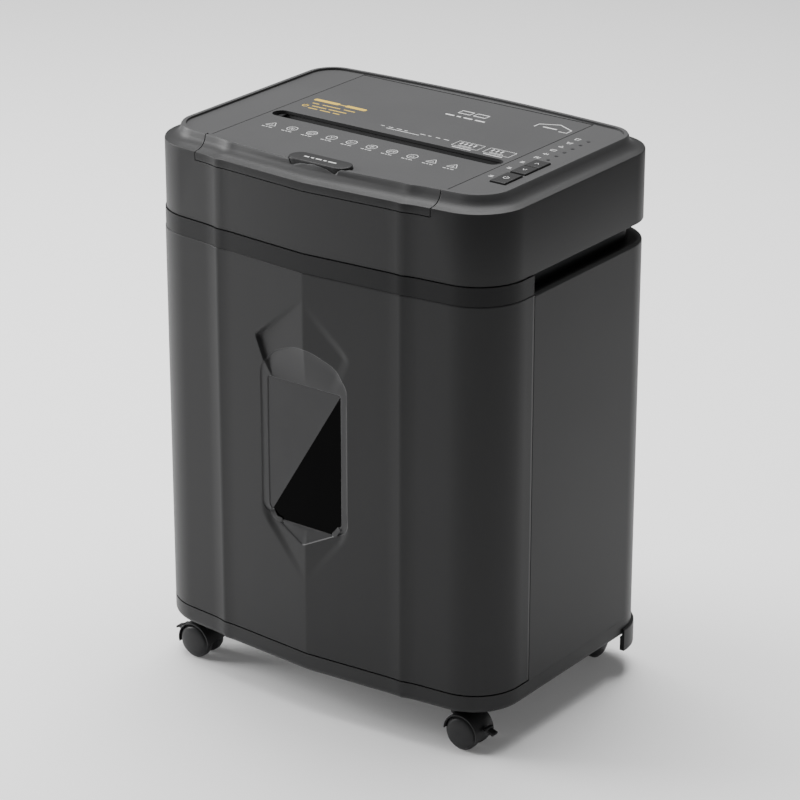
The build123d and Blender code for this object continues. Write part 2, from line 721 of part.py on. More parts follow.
def gear_face(x, axis, teeth, module, angle, bore):
    """Involute gear outline on the plane X = x, with one tooth centred at the given angle."""
    pressure = radians(20)
    pitch_r = module * teeth / 2
    base_r = pitch_r * cos(pressure)
    tip_r = pitch_r + 0.75 * module
    root_r = pitch_r - 1.15 * module
    half_tooth = pi / (2 * teeth) - 0.1 * module / pitch_r + tan(pressure) - pressure
    flank = [(root_r, half_tooth)]
    start_r = max(base_r, root_r + 0.01)
    for step in range(4):
        r = start_r + (tip_r - start_r) * step / 3
        roll = acos(min(1.0, base_r / r))
        flank.append((r, half_tooth - tan(roll) + roll))
    points = []
    for tooth in range(teeth):
        middle = angle + 2 * pi * tooth / teeth
        points += [along(axis, middle - turn, r) for r, turn in flank]
        points += [along(axis, middle + turn, r) for r, turn in reversed(flank)]
    with BuildSketch(Plane.YZ.offset(x)) as outline:
        with BuildLine():
            Polyline(*points, close=True)
        make_face()
        with Locations(axis):
            Circle(bore, mode=Mode.SUBTRACT)
    return outline.sketch


def gear(x0, x1, axis, teeth, module, angle, bore):
    """Spur gear between two planes, in the part being built."""
    extrude(gear_face(x0, axis, teeth, module, angle, bore), amount=x1 - x0)


disc_count = floor(2 * throat_half / disc_pitch)
disc_span = disc_count * disc_pitch
with BuildPart() as front_cutter_discs:
    with BuildSketch(Plane.YZ.offset(-disc_span / 2)):
        with Locations(front_axis):
            Circle(cutter_r - 1)
            with PolarLocations(cutter_r - 1, 3, start_angle=20):
                RegularPolygon(1.6, 3, rotation=60)
            Circle(cutter_core_r, mode=Mode.SUBTRACT)
    extrude(amount=disc_t)
    with Locations(*[(index * disc_pitch, 0, 0) for index in range(1, disc_count)]):
        add(front_cutter_discs.part)
save(front_cutter_discs, "front_cutter_discs")

with BuildPart() as rear_cutter_discs:
    with BuildSketch(Plane.YZ.offset(-disc_span / 2 + disc_pitch / 2)):
        with Locations(rear_axis):
            Circle(cutter_r - 1)
            with PolarLocations(cutter_r - 1, 3, start_angle=80):
                RegularPolygon(1.6, 3, rotation=60)
            Circle(cutter_core_r, mode=Mode.SUBTRACT)
    extrude(amount=disc_t)
    with Locations(*[(index * disc_pitch, 0, 0) for index in range(1, disc_count)]):
        add(rear_cutter_discs.part)
save(rear_cutter_discs, "rear_cutter_discs")

left_x = -plate_x - plate_t   # outer faces of the two side plates
right_x = plate_x + plate_t
cutter_gear_x = left_x - 2.0
main_gear_x = cutter_gear_x - 8.0 - gear_gap
first_gear_x = main_gear_x - gear_t - gear_gap
second_gear_x = first_gear_x - gear_t - gear_gap
gear_end_x = second_gear_x - gear_t
feed_gear_x = right_x + 2.0

with BuildPart() as front_cutter_shaft:
    rod(-plate_x + 1, plate_x - 1, *front_axis, cutter_core_r)
    rod(cutter_gear_x - 8, right_x + 1, *front_axis, cutter_end_r)
save(front_cutter_shaft, "front_cutter_shaft")

with BuildPart() as rear_cutter_shaft:
    rod(-plate_x + 1, plate_x - 1, *rear_axis, cutter_core_r)
    rod(main_gear_x - gear_t, feed_gear_x, *rear_axis, cutter_end_r)
    rod(feed_gear_x, feed_gear_x + gear_t, *rear_axis, cutter_end_r - 3)
save(rear_cutter_shaft, "rear_cutter_shaft")

rear_angle = 0.0
front_angle = tooth_angle(rear_angle, cutter_teeth, cutter_teeth, pi)
with BuildPart() as front_cutter_gear:
    gear(cutter_gear_x - 8, cutter_gear_x, front_axis, cutter_teeth, cutter_module, front_angle,
         cutter_end_r)
save(front_cutter_gear, "front_cutter_gear")

with BuildPart() as rear_cutter_gear:
    gear(cutter_gear_x - 8, cutter_gear_x, rear_axis, cutter_teeth, cutter_module, rear_angle, cutter_end_r)
    gear(main_gear_x - gear_t, main_gear_x, rear_axis, main_teeth, train_module, rear_angle, cutter_end_r)
    rod(main_gear_x, cutter_gear_x - 8, *rear_axis, cutter_end_r + 5)
    rod(main_gear_x, cutter_gear_x - 8, *rear_axis, cutter_end_r, mode=Mode.SUBTRACT)
save(rear_cutter_gear, "rear_cutter_gear")

idle_r = 3.0
first_angle = tooth_angle(rear_angle, main_teeth, small_teeth, first_bearing)
with BuildPart() as first_reduction_gear:
    gear(main_gear_x - gear_t, main_gear_x, first_axis, small_teeth, train_module, first_angle,
         idle_r + fit)
    rod(first_gear_x, main_gear_x - gear_t, *first_axis, idle_r + 2)
    gear(first_gear_x - gear_t, first_gear_x, first_axis, first_teeth, train_module, first_angle,
         idle_r + fit)
    rod(gear_end_x, right_x, *first_axis, idle_r + fit, mode=Mode.SUBTRACT)
save(first_reduction_gear, "first_reduction_gear")

second_angle = tooth_angle(first_angle, first_teeth, small_teeth, second_bearing)
with BuildPart() as second_reduction_gear:
    gear(first_gear_x - gear_t, first_gear_x, second_axis, small_teeth, train_module, second_angle,
         idle_r + fit)
    rod(second_gear_x, first_gear_x - gear_t, *second_axis, idle_r + 2)
    gear(gear_end_x, second_gear_x, second_axis, second_teeth, train_module, second_angle, idle_r + fit)
    rod(gear_end_x, right_x, *second_axis, idle_r + fit, mode=Mode.SUBTRACT)
save(second_reduction_gear, "second_reduction_gear")

motor_r = 25.0
motor_shaft_r = 3.0
motor_length = 92.0
motor_angle = tooth_angle(second_angle, second_teeth, small_teeth, motor_bearing)
with BuildPart() as motor_pinion:
    gear(gear_end_x, second_gear_x, motor_axis, small_teeth, train_module, motor_angle, motor_shaft_r)
    rod(gear_end_x, -plate_x + 30, *motor_axis, motor_shaft_r)
save(motor_pinion, "motor_pinion")

with BuildPart() as motor:
    rod(-plate_x, -plate_x + motor_length, *motor_axis, motor_r)
    fillet(motor.edges().sort_by(Axis.X)[-1], radius=5)
    rod(-plate_x + motor_length, -plate_x + motor_length + 8, *motor_axis, 9)
    rod(-plate_x - 1, -plate_x + 31, *motor_axis, motor_shaft_r + fit, mode=Mode.SUBTRACT)
save(motor, "motor")

bush_t = 3.0
bearings = [(axis, cutter_end_r) for axis in (front_axis, rear_axis)] + [(roller_axis, roller_shaft_r)]
with BuildPart() as cutter_side_plates:
    for x in (-plate_x - plate_t, plate_x):
        block(x, x + plate_t, plate_front, plate_back, chassis_top, plate_top)
        with BuildSketch(Plane.YZ.offset(x)) as ear:
            with Locations((roller_y, (roller_z + plate_top) / 2)):
                Rectangle(2 * roller_shaft_r + 2 * bush_t + 8, plate_top - roller_z + 4)
        extrude(amount=plate_t)
    for axis, radius in bearings:
        rod(-right_x, right_x, *axis, radius + bush_t, mode=Mode.SUBTRACT)
    for axis in (first_axis, second_axis):
        rod(left_x, 0, *axis, idle_r, mode=Mode.SUBTRACT)
    rod(left_x, 0, *motor_axis, motor_shaft_r + 2, mode=Mode.SUBTRACT)
    rod(0, right_x, *idler_axis, idle_r - 0.5, mode=Mode.SUBTRACT)
save(cutter_side_plates, "cutter_side_plates")

with BuildPart() as shaft_bushings:
    for axis, radius in bearings:
        for x in (-plate_x - plate_t, plate_x):
            rod(x, x + plate_t, *axis, radius + bush_t)
        rod(-right_x, right_x, *axis, radius + fit, mode=Mode.SUBTRACT)
save(shaft_bushings, "shaft_bushings")

tie_places = [(plate_front + 4.5, chassis_top + 5), (plate_front + 4.5, plate_top - 5),
              (roller_y + 8, chassis_top + 5)]
with BuildPart() as tie_rods:
    for place in tie_places:
        rod(-plate_x, plate_x, *place, 3.0)
save(tie_rods, "tie_rods")

with BuildPart() as gear_axles:
    for axis in (first_axis, second_axis):
        rod(gear_end_x - 2.5, -plate_x, *axis, idle_r)
    rod(plate_x, feed_gear_x + gear_t + 1, *idler_axis, idle_r - 0.5)
save(gear_axles, "gear_axles")

cover_x = gear_end_x - 2.5
with BuildPart() as gear_cover:
    block(cover_x - 2, cover_x, plate_front, plate_back, chassis_top, plate_top + 12)
    for y, z in ((plate_front + 5, plate_top - 5), (plate_front + 5, chassis_top + 6),
                 (plate_back - 5, plate_top - 5), (plate_back - 5, chassis_top + 6)):
        rod(cover_x, left_x, y, z, 3.0)
save(gear_cover, "gear_cover")

comb_t = 3.0
with BuildPart() as stripper_combs:
    block(-plate_x, plate_x, front_cutter_y - cutter_r - 4, front_cutter_y - cutter_r - 2,
          cutter_z - 12, cutter_z + 8)
    for index in range(disc_count - 1):
        x = -disc_span / 2 + disc_t + (disc_pitch - disc_t) / 2 + index * disc_pitch
        block(x - comb_t / 2, x + comb_t / 2, front_cutter_y - cutter_r - 2,
              front_cutter_y - cutter_core_r - 2, cutter_z - 8, cutter_z + 4)
    block(-plate_x, plate_x, rear_cutter_y + cutter_r + 2, rear_cutter_y + cutter_r + 4,
          cutter_z - 18, cutter_z)
    for index in range(disc_count - 1):
        x = -disc_span / 2 + disc_pitch / 2 + disc_t + (disc_pitch - disc_t) / 2 + index * disc_pitch
        block(x - comb_t / 2, x + comb_t / 2, rear_cutter_y + cutter_core_r + 2,
              rear_cutter_y + cutter_r + 2, cutter_z - 10, cutter_z - 2)
save(stripper_combs, "stripper_combs")

with BuildPart() as feed_roller_shaft:
    rod(-right_x, feed_gear_x + gear_t, *roller_axis, roller_shaft_r)
save(feed_roller_shaft, "feed_roller_shaft")

with BuildPart() as feed_tyres:
    for x in (-78, -26, 26, 78):
        rod(x - 11, x + 11, *roller_axis, roller_r)
    rod(-far, far, *roller_axis, roller_shaft_r, mode=Mode.SUBTRACT)
save(feed_tyres, "feed_tyres")

drive_angle = 0.0
idler_angle = tooth_angle(drive_angle, feed_teeth, feed_teeth, feed_bearing + feed_rise)
roller_angle = tooth_angle(idler_angle, feed_teeth, feed_teeth, feed_bearing - feed_rise)
with BuildPart() as feed_drive_gear:
    gear(feed_gear_x, feed_gear_x + gear_t, rear_axis, feed_teeth, feed_module, drive_angle,
         cutter_end_r - 3)
save(feed_drive_gear, "feed_drive_gear")
with BuildPart() as feed_idler_gear:
    gear(feed_gear_x, feed_gear_x + gear_t, idler_axis, feed_teeth, feed_module, idler_angle,
         idle_r - 0.5 + fit)
save(feed_idler_gear, "feed_idler_gear")
with BuildPart() as feed_roller_gear:
    gear(feed_gear_x, feed_gear_x + gear_t, roller_axis, feed_teeth, feed_module, roller_angle,
         roller_shaft_r)
save(feed_roller_gear, "feed_roller_gear")

# ================================================================ casters

hood_r = wheel_r + 1.9
pocket_r = wheel_r + 0.6
hood_half = 13.0
web_half = 3.5


def caster_plane(stem, turn):
    """Plane of a caster: its x axis trails from the stem, its y axis is the upright one."""
    trail = Vector(cos(turn), sin(turn), 0)
    origin = Vector(stem[0], stem[1], wheel_r) + trail * caster_trail
    return Plane(origin=origin, x_dir=trail, z_dir=trail.cross(Vector(0, 0, 1)))


def caster_disc(plane, t0, t1, radius):
    """Disc across a caster's axle, from one distance to another along the axle."""
    with BuildSketch(plane.offset(t0)) as disc:
        Circle(radius)
    return extrude(disc.sketch, amount=t1 - t0, mode=Mode.PRIVATE)


def caster_box(plane, u0, u1, w0, w1, t0, t1):
    """Box in a caster's frame: along its trail, upwards, and along its axle."""
    with BuildSketch(plane.offset(t0)) as side:
        with Locations(((u0 + u1) / 2, (w0 + w1) / 2)):
            Rectangle(u1 - u0, w1 - w0)
    return extrude(side.sketch, amount=t1 - t0, mode=Mode.PRIVATE)


pedal_u = hood_r + 2.4
pedal_w = 6.0
pedal_half = 4.5
pedal_pin_r = 1.2
pedal_tilt = radians(22)
casters = {
    "front_left": ((-front_stem[0], front_stem[1]), pi, True),
    "front_right": (front_stem, 0.0, True),
    "rear_left": ((-rear_stem[0], rear_stem[1]), pi / 2, False),
    "rear_right": (rear_stem, pi / 2, False),
}
for name, (stem, turn, braked) in casters.items():
    plane = caster_plane(stem, turn)
    with BuildPart() as hood:
        add(caster_disc(plane, -hood_half, hood_half, hood_r))
        post(*stem, wheel_r + 12, caster_height - 0.8, 7.0)
        post(*stem, wheel_r + 12, plinth_top - wall - 1.5, stem_r - fit)
        for t0, t1 in ((-far, -web_half), (web_half, far)):
            add(caster_disc(plane, t0, t1, pocket_r), mode=Mode.SUBTRACT)
            # the fenders end just under the axle
            add(caster_box(plane, -far, far, -far, -4.0, t0, t1), mode=Mode.SUBTRACT)
        add(caster_box(plane, -far, far, -far, -wheel_r + 4.5, -far, far), mode=Mode.SUBTRACT)
        if braked:
            for t0, t1 in ((-pedal_half - 2.6, -pedal_half - 0.4), (pedal_half + 0.4, pedal_half + 2.6)):
                add(caster_box(plane, hood_r - 4, pedal_u + 2.4, pedal_w - 2.4, pedal_w + 2.4, t0, t1))
            ears = Plane(plane.from_local_coords((pedal_u, pedal_w, 0)), plane.x_dir, plane.z_dir)
            add(caster_disc(ears, -far, far, pedal_pin_r + fit), mode=Mode.SUBTRACT)
            for t0, t1 in ((-far, -web_half), (web_half, far)):
                add(caster_disc(plane, t0, t1, pocket_r), mode=Mode.SUBTRACT)
        add(caster_disc(plane, -hood_half, hood_half, axle_r), mode=Mode.SUBTRACT)
    with BuildPart() as axle:
        add(caster_disc(plane, -hood_half + 0.5, hood_half - 0.5, axle_r))
    hood_and_axle = Compound(label=f"caster_{name}_hood", children=[hood.part.solid(), axle.part.solid()])
    export_step(hood_and_axle, f"parts/caster_{name}_hood.step")

    with BuildPart() as wheels:
        for side in (-1, 1):
            inner, rim, face = side * (web_half + 0.6), side * (wheel_half - 2.5), side * wheel_half
            with BuildPart(mode=Mode.PRIVATE) as wheel:
                add(caster_disc(plane, min(inner, rim), max(inner, rim), wheel_r))
                with BuildSketch(plane.offset(rim)) as low:
                    Circle(wheel_r - 0.8)
                with BuildSketch(plane.offset(face)) as high:
                    Circle(wheel_r - 6.5)
                loft([low.sketch.face(), high.sketch.face()], ruled=True)
                bore_from, bore_to = sorted((0, side * (hood_half - 0.3)))
                add(caster_disc(plane, bore_from, bore_to, axle_r + fit), mode=Mode.SUBTRACT)
            add(wheel.part)
    save(wheels, f"caster_{name}_wheels")

    if braked:
        with BuildPart() as pedal:
            pivot = Plane(plane.from_local_coords((pedal_u, pedal_w, 0)), plane.x_dir, plane.z_dir)
            outward = plane.x_dir * cos(pedal_tilt) - plane.y_dir * sin(pedal_tilt)
            tab = Plane(pivot.origin, outward, plane.z_dir)
            add(caster_disc(pivot, -pedal_half, pedal_half, 2.0))
            add(caster_disc(pivot, -pedal_half - 2.4, pedal_half + 2.4, pedal_pin_r))
            add(caster_box(tab, 0, 8.5, -1.1, 1.1, -pedal_half, pedal_half))
        save(pedal, f"caster_{name}_pedal")
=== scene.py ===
"""Looks of an automatic-feed paper shredder: casing skins, casters, printed marks and finishes.

Everything is in metres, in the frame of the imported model: +Z up, -Y to the front, +X to the right.
"""
import json
from math import atan2, cos, hypot, pi, radians, sin, tan, tau

import bmesh
import bpy
from bpy.props import FloatProperty, FloatVectorProperty, PointerProperty
from mathutils import Matrix, Vector


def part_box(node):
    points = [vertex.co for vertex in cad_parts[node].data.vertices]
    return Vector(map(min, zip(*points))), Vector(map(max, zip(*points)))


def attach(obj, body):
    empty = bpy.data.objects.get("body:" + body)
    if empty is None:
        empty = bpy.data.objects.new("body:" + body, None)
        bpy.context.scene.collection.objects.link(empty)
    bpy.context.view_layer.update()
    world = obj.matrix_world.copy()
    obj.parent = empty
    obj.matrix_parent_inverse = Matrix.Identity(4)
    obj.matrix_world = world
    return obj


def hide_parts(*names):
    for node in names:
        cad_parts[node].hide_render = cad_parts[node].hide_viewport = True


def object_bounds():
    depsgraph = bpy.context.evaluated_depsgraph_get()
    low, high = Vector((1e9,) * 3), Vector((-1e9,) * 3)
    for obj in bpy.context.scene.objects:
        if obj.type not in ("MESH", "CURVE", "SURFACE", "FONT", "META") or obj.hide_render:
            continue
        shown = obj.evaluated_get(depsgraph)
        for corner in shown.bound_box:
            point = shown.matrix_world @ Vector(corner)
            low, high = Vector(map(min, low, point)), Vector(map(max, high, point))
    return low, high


bl_info = {
    "name": "Paper shredder",
    "version": (1, 0, 0),
    "blender": (4, 5, 0),
    "location": "View3D > Sidebar > Shredder",
    "description": "Builds the visible skins, marks and finishes of a paper shredder",
    "category": "Object",
}

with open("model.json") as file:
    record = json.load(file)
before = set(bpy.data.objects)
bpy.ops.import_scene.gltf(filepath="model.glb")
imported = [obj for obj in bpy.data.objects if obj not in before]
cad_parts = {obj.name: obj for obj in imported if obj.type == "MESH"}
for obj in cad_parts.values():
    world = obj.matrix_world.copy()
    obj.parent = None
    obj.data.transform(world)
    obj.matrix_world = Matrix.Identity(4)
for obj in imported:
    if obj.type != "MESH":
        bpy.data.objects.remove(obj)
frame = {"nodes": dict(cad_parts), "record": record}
CAD_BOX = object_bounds()
BOXES = {name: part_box(name) for name in frame["nodes"]}
MM = 0.001
UP = (0, 0, 1)
MARK_Z = BOXES["head_housing"][1].z - 1.985 * MM
CASTERS = ("front_left", "front_right", "rear_left", "rear_right")
BUTTONS = ("power_button", "reverse_button", "forward_button")


# ---------------------------------------------------------------- shader expressions
class Field:
    """A value socket that adds Math nodes when it is used in arithmetic."""

    def __init__(self, finish, socket):
        self.finish = finish
        self.socket = socket

    def _math(self, operation, first, second=None, clamp=False):
        values = {0: first} if second is None else {0: first, 1: second}
        settings = {"operation": operation, "use_clamp": clamp}
        return Field(self.finish, self.finish.node("ShaderNodeMath", settings, values).outputs[0])

    def __add__(self, other):
        return self._math("ADD", self, other)

    def __radd__(self, other):
        return self._math("ADD", other, self)

    def __sub__(self, other):
        return self._math("SUBTRACT", self, other)

    def __rsub__(self, other):
        return self._math("SUBTRACT", other, self)

    def __mul__(self, other):
        return self._math("MULTIPLY", self, other)

    def __rmul__(self, other):
        return self._math("MULTIPLY", other, self)

    def __gt__(self, other):
        return self._math("GREATER_THAN", self, other)

    def sine(self):
        return self._math("SINE", self)

    def clamped(self):
        return self._math("ADD", self, 0.0, clamp=True)


class Finish:
    """One node material, built from expressions."""

    def __init__(self, name):
        self.material = bpy.data.materials.new(name)
        self.material.use_nodes = True
        self.tree = self.material.node_tree
        self.tree.nodes.clear()
        self.position = self.node("ShaderNodeTexCoord").outputs["Object"]

    def node(self, kind, settings=None, values=None):
        """Add a node: settings first, then the values or links of its sockets."""
        made = self.tree.nodes.new(kind)
        for key, value in (settings or {}).items():
            if key == "stops":
                ramp = made.color_ramp
                while len(ramp.elements) < len(value):
                    ramp.elements.new(0.5)
                for element, (place, colour) in zip(ramp.elements, value):
                    element.position = place
                    element.color = (*colour, 1.0)
            else:
                setattr(made, key, value)
        for key, value in (values or {}).items():
            socket = made.inputs[key]
            if isinstance(value, Field):
                value = value.socket
            if isinstance(value, bpy.types.NodeSocket):
                self.tree.links.new(value, socket)
            else:
                socket.default_value = value
        return made

    def noise(self, grains_per_metre, detail=2.0, stretch=(1.0, 1.0, 1.0)):
        """Noise from 0 to 1 whose grains are one over the given number of a metre."""
        spread = self.node("ShaderNodeVectorMath", {"operation": "MULTIPLY"},
                           {0: self.position, 1: stretch}).outputs[0]
        made = self.node("ShaderNodeTexNoise", None,
                         {"Vector": spread, "Scale": grains_per_metre, "Detail": detail})
        return Field(self, made.outputs["Fac"])

    def axis(self, letter):
        """Position along one axis, in metres."""
        parts = self.node("ShaderNodeSeparateXYZ", None, {0: self.position})
        return Field(self, parts.outputs[letter])

    def blend(self, factor, low, high):
        """Colour between two, by a factor."""
        def colour(value):
            return (*value, 1.0) if isinstance(value, (tuple, list)) else value
        made = self.node("ShaderNodeMix", {"data_type": "RGBA"},
                         {"Factor": factor, 6: colour(low), 7: colour(high)})
        return made.outputs[2]

    def relief(self, height, distance, edge=0.0):
        """Normal of a height field, over edges rounded by a radius."""
        values = {"Height": height, "Distance": distance, "Strength": 1.0}
        if edge:
            bevel = self.node("ShaderNodeBevel", {"samples": 6}, {"Radius": edge})
            values["Normal"] = bevel.outputs[0]
        return self.node("ShaderNodeBump", None, values).outputs[0]

    def surface(self, **values):
        """Principled surface; constants are set on its own sockets."""
        names = {key.replace("_", " ").title().replace("Ior", "IOR"): value
                 for key, value in values.items()}
        return self.node("ShaderNodeBsdfPrincipled", None, names).outputs[0]

    def output(self, shader):
        self.node("ShaderNodeOutputMaterial", None, {"Surface": shader})
        return self.material


FINISHES = {}


def moulded(name, tone, roughness, grain=1600.0, relief=0.00006, edge=0.0006):
    """Moulded plastic: fine grain, faint flow marks and cloudy wear."""
    finish = Finish(name)
    fine = finish.noise(grain, 3.0)
    cloud = finish.noise(9.0, 4.0)
    streak = finish.noise(30.0, 2.0, (1.0, 1.0, 0.15))
    shade = 0.86 + cloud * 0.16 + streak * 0.06 + fine * 0.08
    dark = tuple(0.75 * channel for channel in tone)
    light = tuple(1.12 * channel for channel in tone)
    finish.output(finish.surface(
        base_color=finish.blend((shade - 0.8) * 2.5, dark, light),
        roughness=(roughness - 0.06 + cloud * 0.08 + fine * 0.06).clamped(),
        specular_ior_level=0.16,
        normal=finish.relief(fine, relief, edge),
    ))
    return finish.material


def head_plastic_painted_top(name, side_tone, painted_lit_top_tone, level):
    """Casing plastic, more satin above a level and painted paler there: painted light on the head's top.
    """
    finish = Finish(name)
    fine = finish.noise(1500.0, 3.0)
    cloud = finish.noise(9.0, 4.0)
    # Mask of the head's top, where a paler colour stands in for the light falling from above.
    painted_light_mask = ((finish.axis("Z") - level) * 160.0).clamped()
    tone = finish.blend(painted_light_mask, side_tone, painted_lit_top_tone)
    worn = finish.blend(painted_light_mask, tuple(0.78 * channel for channel in side_tone),
                        tuple(0.82 * channel for channel in painted_lit_top_tone))
    finish.output(finish.surface(
        base_color=finish.blend(fine * 0.5 + cloud * 0.6, worn, tone),
        roughness=0.38 + cloud * 0.08 + fine * 0.05 - painted_light_mask * 0.02,
        specular_ior_level=0.2,
        normal=finish.relief(fine, 0.00006, 0.0006)))
    return finish.material


def turned_metal(name, tone, roughness, stretch, edge=0.0003):
    """Metal with fine tool marks, drawn out by the given factors."""
    finish = Finish(name)
    marks = finish.noise(900.0, 2.0, stretch)
    stains = finish.noise(40.0, 3.0)
    low = tuple(0.7 * channel for channel in tone)
    finish.output(finish.surface(
        base_color=finish.blend(stains * 0.5 + marks * 0.5, low, tone),
        metallic=1.0,
        roughness=(roughness + marks * 0.16 - stains * 0.06).clamped(),
        normal=finish.relief(marks, 0.00003, edge),
    ))
    return finish.material


def printed(name, tone):
    """Screen-printed ink with a slightly broken cover."""
    finish = Finish(name)
    cover = finish.noise(2500.0, 2.0)
    worn = tuple(0.7 * channel for channel in tone)
    finish.output(finish.surface(
        base_color=finish.blend(cover, worn, tone),
        roughness=0.42 + cover * 0.15,
        specular_ior_level=0.3,
    ))
    return finish.material


def rubber(name):
    """Ribbed feed-tyre rubber with dust in its pores."""
    finish = Finish(name)
    pores = finish.noise(1200.0, 3.0)
    ribs = (finish.axis("X") * (tau / 0.0022)).sine() * 0.5 + 0.5
    finish.output(finish.surface(
        base_color=finish.blend(pores, (0.012, 0.012, 0.013), (0.035, 0.034, 0.033)),
        roughness=0.72 + pores * 0.15,
        normal=finish.relief(ribs * 0.7 + pores * 0.3, 0.0002, 0.0004),
    ))
    return finish.material


def smoked_window(name, corner, slope):
    """Dark window whose half above its diagonal is painted paler and more satin: a painted reflection.
    """
    finish = Finish(name)
    smudge = finish.noise(22.0, 3.0)
    # Half above the diagonal, whose paler colour is a painted reflection; its shine and roughness are
    # real.
    painted_light_mask = ((finish.axis("Z") - corner[1]) - (finish.axis("X") - corner[0]) * slope) > 0.0
    painted_reflection = finish.surface(
        base_color=finish.blend(smudge, (0.012, 0.012, 0.013), (0.022, 0.022, 0.023)),
        roughness=0.16 + smudge * 0.08, specular_ior_level=0.25)
    clear = finish.surface(
        base_color=finish.blend(smudge, (0.0004, 0.0004, 0.0005), (0.001, 0.001, 0.001)),
        roughness=0.08 + smudge * 0.05, specular_ior_level=0.02)
    mixed = finish.node("ShaderNodeMixShader", None, {0: painted_light_mask, 1: clear, 2: painted_reflection}).outputs[0]
    return finish.output(mixed)


def circuit(name):
    """Green lacquered board with brighter traces under the lacquer."""
    finish = Finish(name)
    across = (finish.axis("X") * (tau / 0.003)).sine() > 0.2
    along = (finish.axis("Y") * (tau / 0.0045)).sine() > 0.1
    patch = finish.noise(120.0, 1.0) > 0.5
    trace = across * patch + along * (1.0 - patch)
    finish.output(finish.surface(
        base_color=finish.blend(trace, (0.012, 0.09, 0.035), (0.02, 0.16, 0.06)),
        roughness=0.3 + trace * 0.1, normal=finish.relief(trace, 0.00004)))
    return finish.material


def frosted(name, tone):
    """Frosted lamp lens with an uneven haze."""
    finish = Finish(name)
    haze = finish.noise(700.0, 2.0)
    finish.output(finish.surface(
        base_color=finish.blend(haze, tuple(0.6 * c for c in tone), tone),
        roughness=0.3 + haze * 0.2, coat_weight=0.3))
    return finish.material


def make_finishes(tones):
    """All the materials, by the record's slot names and a few more."""
    case, dark = tuple(tones.casing), tuple(tones.dark)
    FINISHES.update({
        "charcoal_plastic": moulded("charcoal_plastic", case, 0.42),
        "lid_plastic": moulded("lid_plastic", tuple(tones.lid), 0.40, grain=1300.0),
        # The head's top takes the lid's tone as painted top light.
        "head_plastic_painted_top": head_plastic_painted_top("head_plastic_painted_top", case, tuple(tones.lid), 0.4865),
        # Paler copy of the casing plastic: painted highlight on the window's frame.
        "bezel_plastic_painted_highlight": moulded("bezel_plastic_painted_highlight", tuple(tones.bezel_painted_highlight_tone), 0.34, edge=0.0008),
        "dark_plastic": moulded("dark_plastic", dark, 0.45),
        "black_plastic": moulded("black_plastic", (0.012, 0.012, 0.013), 0.5, grain=1000.0),
        "caster_plastic": moulded("caster_plastic", tuple(tones.caster), 0.36, grain=2200.0,
                                  relief=0.00003, edge=0.0004),
        "gear_plastic": moulded("gear_plastic", (0.62, 0.6, 0.54), 0.38, grain=2400.0,
                                relief=0.00002),
        "steel": turned_metal("steel", (0.56, 0.56, 0.57), 0.26, (6.0, 1.0, 1.0)),
        "bronze": turned_metal("bronze", (0.55, 0.4, 0.22), 0.4, (1.0, 3.0, 3.0)),
        "rubber": rubber("rubber"),
        "circuit_board": circuit("circuit_board"),
        "lens": frosted("lens", (0.016, 0.016, 0.018)),
        "white_ink": printed("white_ink", tuple(tones.ink)),
        "yellow_ink": printed("yellow_ink", tuple(tones.warning)),
    })


# ---------------------------------------------------------------- mesh helpers
def solid(name, points, faces, finish, body, smooth=35.0):
    """Mesh object from points and faces, with welded points and outward faces, riding on a body."""
    mesh = bpy.data.meshes.new(name)
    mesh.from_pydata([tuple(p) for p in points], [], faces)
    work = bmesh.new()
    work.from_mesh(mesh)
    bmesh.ops.remove_doubles(work, verts=work.verts, dist=1e-6)
    bmesh.ops.recalc_face_normals(work, faces=work.faces)
    for face in work.faces:
        face.smooth = True
    for edge in work.edges:
        if len(edge.link_faces) == 2:
            edge.smooth = edge.calc_face_angle(0.0) < radians(smooth)
    work.to_mesh(mesh)
    work.free()
    piece = bpy.data.objects.new(name, mesh)
    bpy.context.scene.collection.objects.link(piece)
    mesh.materials.append(FINISHES[finish])
    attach(piece, body)
    return piece


def grid_faces(rows, columns, start=0, closed=False):
    """Faces of a grid of points stored row by row; closed joins the last column to the first."""
    faces = []
    for row in range(rows - 1):
        for column in range(columns if closed else columns - 1):
            a = start + row * columns + column
            b = start + row * columns + (column + 1) % columns
            faces.append((a, b, b + columns, a + columns))
    return faces


def rounded(corners, radius, steps=6):
    """Closed outline with each corner rounded by an arc."""
    points = []
    count = len(corners)
    for index, corner in enumerate(corners):
        here = Vector(corner)
        before = Vector(corners[index - 1]) - here
        after = Vector(corners[(index + 1) % count]) - here
        turn = before.angle(after)
        r = radius[index] if isinstance(radius, (list, tuple)) else radius
        reach = min(r / max(1e-6, abs(tan(turn / 2))), 0.48 * before.length, 0.48 * after.length)
        start = here + before.normalized() * reach
        end = here + after.normalized() * reach
        for step in range(steps + 1):
            t = step / steps
            points.append(tuple((1 - t) ** 2 * start + 2 * t * (1 - t) * here + t * t * end))
    return points


def lathe(profile, centre, axle, up, start=0.0, turn=tau, steps=64):
    """Turn a closed profile of (radius, distance along the axle) round an axle."""
    axle = Vector(axle).normalized()
    up = Vector(up).normalized()
    side = axle.cross(up)
    whole = turn > tau - 1e-6
    rows = steps if whole else steps + 1
    points = []
    for row in range(rows):
        angle = start + turn * row / steps
        ray = up * cos(angle) + side * sin(angle)
        points += [Vector(centre) + ray * r + axle * t for r, t in profile]
    count = len(profile)
    faces = []
    for row in range(steps):
        for column in range(count):
            a = row * count + column
            b = row * count + (column + 1) % count
            c = (row + 1) % rows * count + (column + 1) % count
            d = (row + 1) % rows * count + column
            faces.append((a, b, c, d))
    if not whole:
        faces.append(tuple(range(count)))
        faces.append(tuple(range(steps * count, (steps + 1) * count)))
    return points, faces


def join_lists(*meshes):
    """One list of points and one of faces from several."""
    points, faces = [], []
    for more_points, more_faces in meshes:
        start = len(points)
        points += more_points
        faces += [tuple(start + index for index in face) for face in more_faces]
    return points, faces


